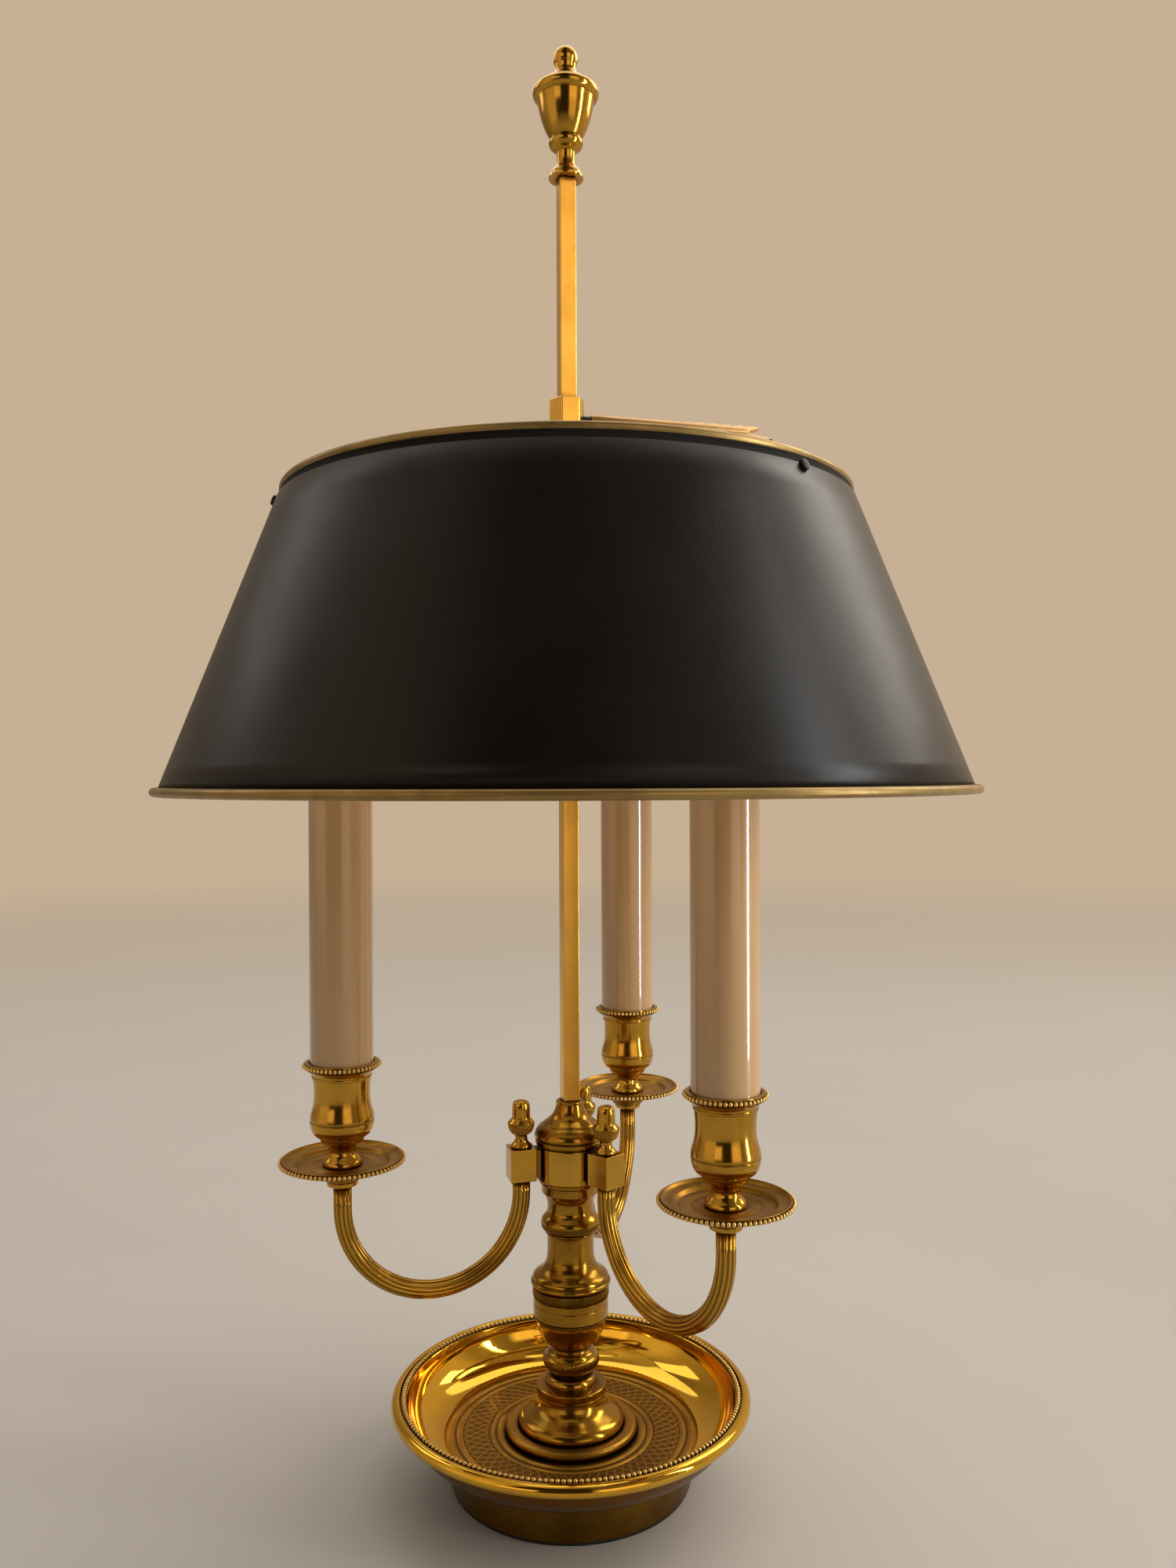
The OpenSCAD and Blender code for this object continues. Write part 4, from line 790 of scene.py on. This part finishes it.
def makeNut(name):
    bm = newMesh()
    verts = turned(bm, nutOutline, 208)
    darkening = engravedAndShaded(bm)
    for v in verts:  # crossed knurling round the cup
        r, angle, z = polar(v)
        if nutGrip["low"] < z < nutGrip["high"] and r > nutGrip["minR"]:
            across, rise = nutGrip["around"] * angle, nutGrip["rise"] * z
            cross = min(abs(math.sin(across + rise)), abs(math.sin(across - rise)))
            groove = max(0.0, 1 - cross / nutGrip["width"])
            shiftOut(v, -nutGrip["depth"] * groove)
            v[darkening] = groove
    keep(bm, f"acorn_nut_{name}_turned", "polished_brass", f"light_{name}", "polished_brass",
         f"acorn_nut_{name}", ease=0.1, place=legPlace(name))


def makeBeaded(name, kind, part, outline, steps, finish):
    # a turned piece and its row of beads
    body, place = f"light_{name}", candlePlace(name)
    bm = newMesh()
    tarnishAndShadeSeat(bm, turned(bm, outline, steps), **seatTarnishAndShade[kind])
    keep(bm, f"{part}_{name}_turned", finish, body, "polished_brass", f"{part}_{name}", ease=0.1, place=place)
    bm = newMesh()
    beadRow(bm, **beadwork[kind])
    keep(bm, f"{part}_{name}_beads", "pearl_brass", body, "polished_brass", ease=0, place=place)


def makeSleeve(name):
    bm = newMesh()
    turned(bm, sleeveOutline, 112)
    keep(bm, f"candle_sleeve_{name}_card", "candle_cream", f"light_{name}", "candle_cream",
         f"candle_sleeve_{name}", ease=0.15, place=candlePlace(name))


for name in lights:
    makeArm(name)
    makeNut(name)
    makeBeaded(name, "pan", "drip_pan", panOutline, 128, "satin_brass")
    makeBeaded(name, "cup", "candle_cup", cupOutline, 112, "polished_brass")
    makeSleeve(name)
print("lights done")

# the shade with its gold rims: the radii hold at topZ and lowZ, and the sheet runs on from foot to brim
shadeCone = {"topR": 127.6, "topZ": 436.5, "lowR": 175.5, "lowZ": 314.0, "foot": 311.0, "brim": 439.4,
             "wall": 0.644, "grooveLow": 435.3, "grooveHigh": 438.2, "grooveDeep": 0.55, "steps": 288,
             "rows": 12}
shadeSlope = (shadeCone["lowR"] - shadeCone["topR"]) / (shadeCone["topZ"] - shadeCone["lowZ"])
rims = {
    "top_rim": {"z": 440.0, "wire": 1.75, "inset": -1.0},
    "low_rim": {"z": 310.96, "wire": 1.9, "inset": 1.0},
}
# the wire was closed by hand, so it wanders a little: (mm, waves round the rim, start)
rimWander = ((0.12, 3, 1), (0.06, 11, 0))


def shadeRadius(z):
    return shadeCone["topR"] + (shadeCone["topZ"] - z) * shadeSlope


def makeShade():
    finishes.update(black_tole=makeTole(), gold_paint=makeGoldPaint())
    wall, deep, rows = shadeCone["wall"], shadeCone["grooveDeep"], shadeCone["rows"]
    low, high = shadeCone["foot"], shadeCone["brim"]
    groove, grooveHigh = shadeCone["grooveLow"], shadeCone["grooveHigh"]
    heights = [low + (groove - low) * i / rows for i in range(rows + 1)]
    outline = [(shadeRadius(z), z) for z in heights]
    outline += [(shadeRadius(groove) - deep, groove + 0.35), (shadeRadius(grooveHigh) - deep, grooveHigh),
                (shadeRadius(high) - 0.1, high)]
    outline += [(shadeRadius(z) - wall, z) for z in [high, groove] + heights[-2::-1]]
    bm = newMesh()
    turned(bm, outline, shadeCone["steps"])
    keep(bm, "shade_cone_tole", "black_tole", "shade", "black_tole", "shade_cone", ease=0)
    for name, rim in rims.items():
        bm = newMesh()
        ringR = shadeRadius(rim["z"]) + rim["inset"]
        circle = arc((ringR, rim["z"]), rim["wire"], 0, 360, 16)[:-1]
        for v in turned(bm, circle, shadeCone["steps"]):
            angle = polar(v)[1]
            shiftOut(v, sum(size * math.sin(waves * angle + start) for size, waves, start in rimWander))
        keep(bm, name + "_wire", "gold_paint", "shade", "gold_paint", name, ease=0)


makeShade()
print("shade done")

# the clamp and its arrow
clamp = {"flats": 14.2, "low": 426.5, "high": 487.0, "facing": 15, "screwZ": 478.0, "hole": 7.8}
arrow = {"shaftR": 3.1, "start": 11, "end": 88, "vaneStart": 38, "tip": 97, "notch": 87, "rootW": 0.6,
         "halfW": 11.0, "thick": 1.8, "tilt": 32, "barbs": 8, "steps": 32}
thread = {"pitch": 0.8, "radius": 2.45, "depth": 0.42, "start": 4.0, "end": 12.0, "steps": 40}


def screwPlace():
    # +X runs out along the screw, from the axis
    return moved(0, 0, clamp["screwZ"]) @ turnedBy(clamp["facing"])


def makeClamp():
    facing = turnedBy(clamp["facing"])
    bm = newMesh()
    middle = moved(0, 0, (clamp["low"] + clamp["high"]) / 2)
    corner = clamp["flats"] / 2 / math.cos(math.radians(30))
    bmesh.ops.create_cone(bm, cap_ends=True, segments=6, radius1=corner * mm, radius2=corner * mm,
                          depth=(clamp["high"] - clamp["low"]) * mm,
                          matrix=facing @ middle @ Matrix.Rotation(turn / 12, 4, "Z"))
    # the square hole: both ends are inset to its size, then bridged
    ends = [f for f in bm.faces if len(f.verts) == 6 and abs(f.normal.z) > 0.9]
    rings = []
    for face in ends:
        z = face.calc_center_median().z
        bmesh.ops.delete(bm, geom=[face], context="FACES_ONLY")
        half = clamp["hole"] / 2 * mm
        corners = ((-1, -1), (1, -1), (1, 1), (-1, 1))
        square = [bm.verts.new(facing @ Vector((x * half, y * half, z))) for x, y in corners]
        edges = [bm.edges.new((square[i], square[(i + 1) % 4])) for i in range(4)]
        rim = [e for e in bm.edges if e.is_boundary and abs(e.verts[0].co.z - z) < 1e-6
               and abs(e.verts[1].co.z - z) < 1e-6 and e not in edges]
        bmesh.ops.triangle_fill(bm, edges=edges + rim, use_dissolve=False)
        rings.append(edges)
    bmesh.ops.bridge_loops(bm, edges=rings[0] + rings[1])
    keep(bm, "clamp_sleeve_hex", "plain_brass", "shade", "plain_brass", "clamp_sleeve", ease=0.5)


def makeArrow():
    along = screwPlace() @ Matrix.Rotation(math.pi / 2, 4, "Y")
    bm = newMesh()
    shaftR, start, end = arrow["shaftR"], arrow["start"], arrow["end"]
    turned(bm, [(0, start), (shaftR - 0.3, start), (shaftR, start + 0.6), (shaftR, 40), (shaftR - 0.2, 60),
                (shaftR - 0.6, end - 2), (shaftR - 1.2, end), (0, end + 0.4)], arrow["steps"])
    bmesh.ops.transform(bm, matrix=along, verts=bm.verts)
    # a vane on each side: a strip with barbs along its outer edge, drawn flat and then thickened
    for side in (1, -1):
        root, tip, wide = arrow["vaneStart"], arrow["tip"], arrow["halfW"]
        edge = [(root, arrow["rootW"]), (root + 3, 4.2)]
        for i in range(arrow["barbs"]):
            at = root + 5 + (tip - root - 7) * (i + 1) / arrow["barbs"]
            out = wide * (0.62 + 0.38 * min(1, (i + 1) / 3))
            edge += [(at - 1.2, out - 1.0), (at, out), (at + 0.3, out - 2.1)]
        edge += [(tip, wide - 1.2), (tip - 1.5, wide - 3.5), (arrow["notch"], arrow["rootW"])]
        verts = [bm.verts.new((x * mm, side * y * mm, -arrow["thick"] / 2 * mm)) for x, y in edge]
        face = bm.faces.new(verts)
        grown = bmesh.ops.extrude_face_region(bm, geom=[face])["geom"]
        top = only(bmesh.types.BMVert, grown)
        bmesh.ops.translate(bm, verts=top, vec=(0, 0, arrow["thick"] * mm))
        tilt = screwPlace() @ Matrix.Rotation(math.radians(arrow["tilt"]), 4, "X")
        bmesh.ops.transform(bm, matrix=tilt, verts=verts + top)
    keep(bm, "clamp_arrow_cast", "cast_brass", "clamp_screw", "polished_brass", "clamp_arrow", ease=0.3)
    bm = newMesh()
    root, crests, z = thread["radius"] - thread["depth"], [], thread["start"]
    while z < thread["end"]:
        crests += [(root, z), (thread["radius"], z + thread["pitch"] / 2)]
        z += thread["pitch"]
    turned(bm, [(0, thread["start"])] + crests + [(root, z), (0, z)], thread["steps"])
    bmesh.ops.transform(bm, matrix=along, verts=bm.verts)
    keep(bm, "clamp_stud_thread", "black_steel", "clamp_screw", "black_steel", "clamp_stud", ease=0)


makeClamp()
makeArrow()

# the shade's cross-head screws
shadeScrew = {"z": 434.5, "slotLean": 0.5, "slotLow": (-1.25, -0.2, 1.3), "slotHigh": (1.25, 0.2, 1.6),
              "steps": 28}
screwOutline = ([(0, -9), (1.5, -9), (1.5, 0.05), (2.35, 0.05), (2.35, 0.6)]
    + curve([(2.3, 1), (1.9, 1.4), (1.2, 1.55)], 3) + [(0, 1.55)])


def makeShadeScrews():
    bm = newMesh()
    z = shadeScrew["z"]
    for light in lights.values():
        seat = (turnedBy(light["block"]) @ moved(shadeRadius(z), 0, z)
                @ Matrix.Rotation(math.pi / 2 - math.atan(shadeSlope), 4, "Y"))
        head = turned(bm, screwOutline, shadeScrew["steps"])
        bmesh.ops.transform(bm, matrix=seat, verts=head)
        for quarter in (0, math.pi / 2):
            place = seat @ Matrix.Rotation(quarter + shadeScrew["slotLean"], 4, "Z")
            block(bm, shadeScrew["slotLow"], shadeScrew["slotHigh"], place)
    keep(bm, "shade_screws_panhead", "black_steel", "shade", "black_steel", "shade_screws", ease=0)


makeShadeScrews()
print("clamp done")

# the CAD parts that stay as they are: the polished brass among them is the drum under the dish, painted dark
# as a reflection of a dark table mirrored in it
keptFinish = {"polished_brass": "drum_brass_painted_dark"}
slotOf = {part["node"]: part["material_slot"] for part in frame["record"]["subparts"]}
for name, cadPart in frame["nodes"].items():
    if not cadPart.hide_render:
        slot = slotOf[name]
        cadPart.data.materials.clear()
        cadPart.data.materials.append(finishes[keptFinish.get(slot, slot)])
print("kept CAD parts painted:", sum(not part.hide_render for part in frame["nodes"].values()))

# floor, world and lamps
backdrop = {"floor": (0.46, 0.415, 0.36), "wall": (0.57, 0.435, 0.30), "fill": (1.0, 0.96, 0.91),
            "leanX": 0.95, "leanY": 0.3, "shadeSide": 0.2, "brightSide": 1.5}
room = {"bands": [(-179.9, 0.6), (-165, 1.0), (-136, 0.95), (-127, 0.06), (-79, 0.04), (-70, 0.25),
                  (-38, 0.35), (-8, 0.5), (5, 0.9), (60, 0.8), (90, 0.6), (140, 0.35), (179.9, 0.6)],
        "patches": [{"at": -60, "half": 12, "low": -0.25, "high": 0.42, "level": 1.2},
                    {"at": -60, "half": 12, "low": 0.1, "high": 0.42, "level": 0.7},
                    {"at": -121, "half": 9, "low": 0.12, "high": 0.42, "level": 1.9}],
        "gain": 1.3, "above": 0.9}
softBoxes = {
    "leftWindow": {"at": (-1.62, 0.65, 1.6), "aim": (0, 0, 0.35), "size": (0.7, 1.2), "power": 3.5,
                   "spread": 180, "tint": (1, 0.98, 0.95)},
    "rightWindow": {"at": (1.55, 0.75, 1.5), "aim": (0, 0, 0.35), "size": (0.6, 1.2), "power": 12,
                    "spread": 180, "tint": (1, 0.95, 0.87)},
    "slit": {"at": (0.575, -0.2325, 0.49), "aim": (0, 0, 0.49), "size": (0.045, 0.8), "power": 1.0,
             "spread": 100, "tint": (0.95, 0.97, 1)},
    "ceiling": {"at": (0.1, 0.9, 2.1), "aim": (0, 0, 0.3), "size": (2.6, 2.0), "power": 20, "spread": 180,
                "tint": (1, 0.98, 0.95)},
}
floorPlan = {"radius": 4.0, "fadeFrom": 0.9, "fadeTo": 3.4, "mottle": 0.97}


def makeFloor():
    bm = newMesh()
    bmesh.ops.create_circle(bm, cap_ends=True, radius=floorPlan["radius"], segments=96)
    mesh = bpy.data.meshes.new("floor")
    bm.to_mesh(mesh)
    bm.free()
    floor = bpy.data.objects.new("floor", mesh)
    scene.collection.objects.link(floor)
    made, tree, skin = newFinish("pale_floor", Roughness=0.6)
    where = objectSpace(tree)
    reach = node(tree, "VectorMath", {0: where}, operation="LENGTH").outputs["Value"]
    mottle = spread(tree, cloud(tree, where, 6, 5, 0.6), 0.3, 0.7)
    clean, worn = backdrop["floor"], [c * floorPlan["mottle"] for c in backdrop["floor"]]
    feed(tree, skin, "Base Color", blendColours(tree, mottle, (*clean, 1), (*worn, 1)))
    # the far floor melts into the backdrop, and the underside doesn't hide the lamp from below
    away = spread(tree, reach, floorPlan["fadeFrom"], floorPlan["fadeTo"])
    under = node(tree, "NewGeometry").outputs["Backfacing"]
    clear = node(tree, "BsdfTransparent")
    unseen = sums(tree, "MAXIMUM", away, under)
    mixed = node(tree, "MixShader", {0: unseen, 1: skin.outputs[0], 2: clear.outputs[0]})
    tree.links.new(mixed.outputs[0], tree.nodes["Material Output"].inputs["Surface"])
    mesh.materials.append(made)


def makeWorld():
    world = bpy.data.worlds.new("studio")
    world.use_nodes = True
    scene.world = world
    tree = world.node_tree
    plain = tree.nodes["Background"]
    plain.inputs[0].default_value = (*backdrop["fill"], 1)
    seen = node(tree, "Background", {0: (*backdrop["wall"], 1), 1: 1.0})
    path = node(tree, "LightPath").outputs
    through = sums(tree, "MAXIMUM", path["Is Glossy Ray"], path["Is Transmission Ray"])
    shown = sums(tree, "MAXIMUM", path["Is Camera Ray"], through)
    # polished metal mirrors the room: dark in front, pale at the sides, with bright windows
    toward = node(tree, "SeparateXYZ", {0: node(tree, "TexCoord").outputs["Generated"]}).outputs
    heading = sums(tree, "MULTIPLY_ADD", sums(tree, "ARCTAN2", toward[1], toward[0]), 1 / turn, 0.5)
    # the soft light is stronger from the right, a little behind
    deeper = times(tree, toward[1], backdrop["leanY"])
    lean = sums(tree, "MULTIPLY_ADD", toward[0], backdrop["leanX"], deeper)
    tree.links.new(spread(tree, lean, -0.5, 1.0, backdrop["shadeSide"], backdrop["brightSide"]),
                   plain.inputs[1])
    around = node(tree, "ValToRGB", {0: heading})
    stops = around.color_ramp.elements
    for degrees, level in room["bands"]:
        stop = stops.new(degrees / 360 + 0.5)
        stop.color = (level, level, level, 1)
    stops.remove(stops[0])
    stops.remove(stops[-1])
    height = spread(tree, toward[2], 0.5, 0.95, room["gain"], room["above"])
    level = times(tree, around.outputs[0], height)
    for patch in room["patches"]:
        off = sums(tree, "ABSOLUTE", sums(tree, "SUBTRACT", heading, patch["at"] / 360 + 0.5))
        across = spread(tree, off, patch["half"] / 360, patch["half"] / 240, patch["level"], 0.0)
        upright = times(tree, spread(tree, toward[2], patch["low"] - 0.06, patch["low"]),
                       spread(tree, toward[2], patch["high"], patch["high"] + 0.12, 1.0, 0.0))
        level = sums(tree, "MULTIPLY_ADD", across, upright, level)
    mirrored = node(tree, "Background", {0: (*backdrop["wall"], 1), 1: level})
    view = node(tree, "MixShader", {0: path["Is Glossy Ray"], 1: seen.outputs[0], 2: mirrored.outputs[0]})
    both = node(tree, "MixShader", {0: shown, 1: plain.outputs[0], 2: view.outputs[0]})
    tree.links.new(both.outputs[0], tree.nodes["World Output"].inputs["Surface"])


def makeLamps():
    for name, box in softBoxes.items():
        data = bpy.data.lights.new(name, "AREA")
        data.shape = "RECTANGLE"
        data.size, data.size_y = box["size"]
        data.energy, data.color = box["power"], box["tint"]
        data.spread = math.radians(box["spread"])
        lamp = bpy.data.objects.new(name, data)
        lamp.location = box["at"]
        lamp.rotation_euler = (Vector(box["aim"]) - Vector(box["at"])).to_track_quat("-Z", "Y").to_euler()
        lamp.visible_camera = False
        scene.collection.objects.link(lamp)


makeFloor()
makeWorld()
makeLamps()
print("stage done")
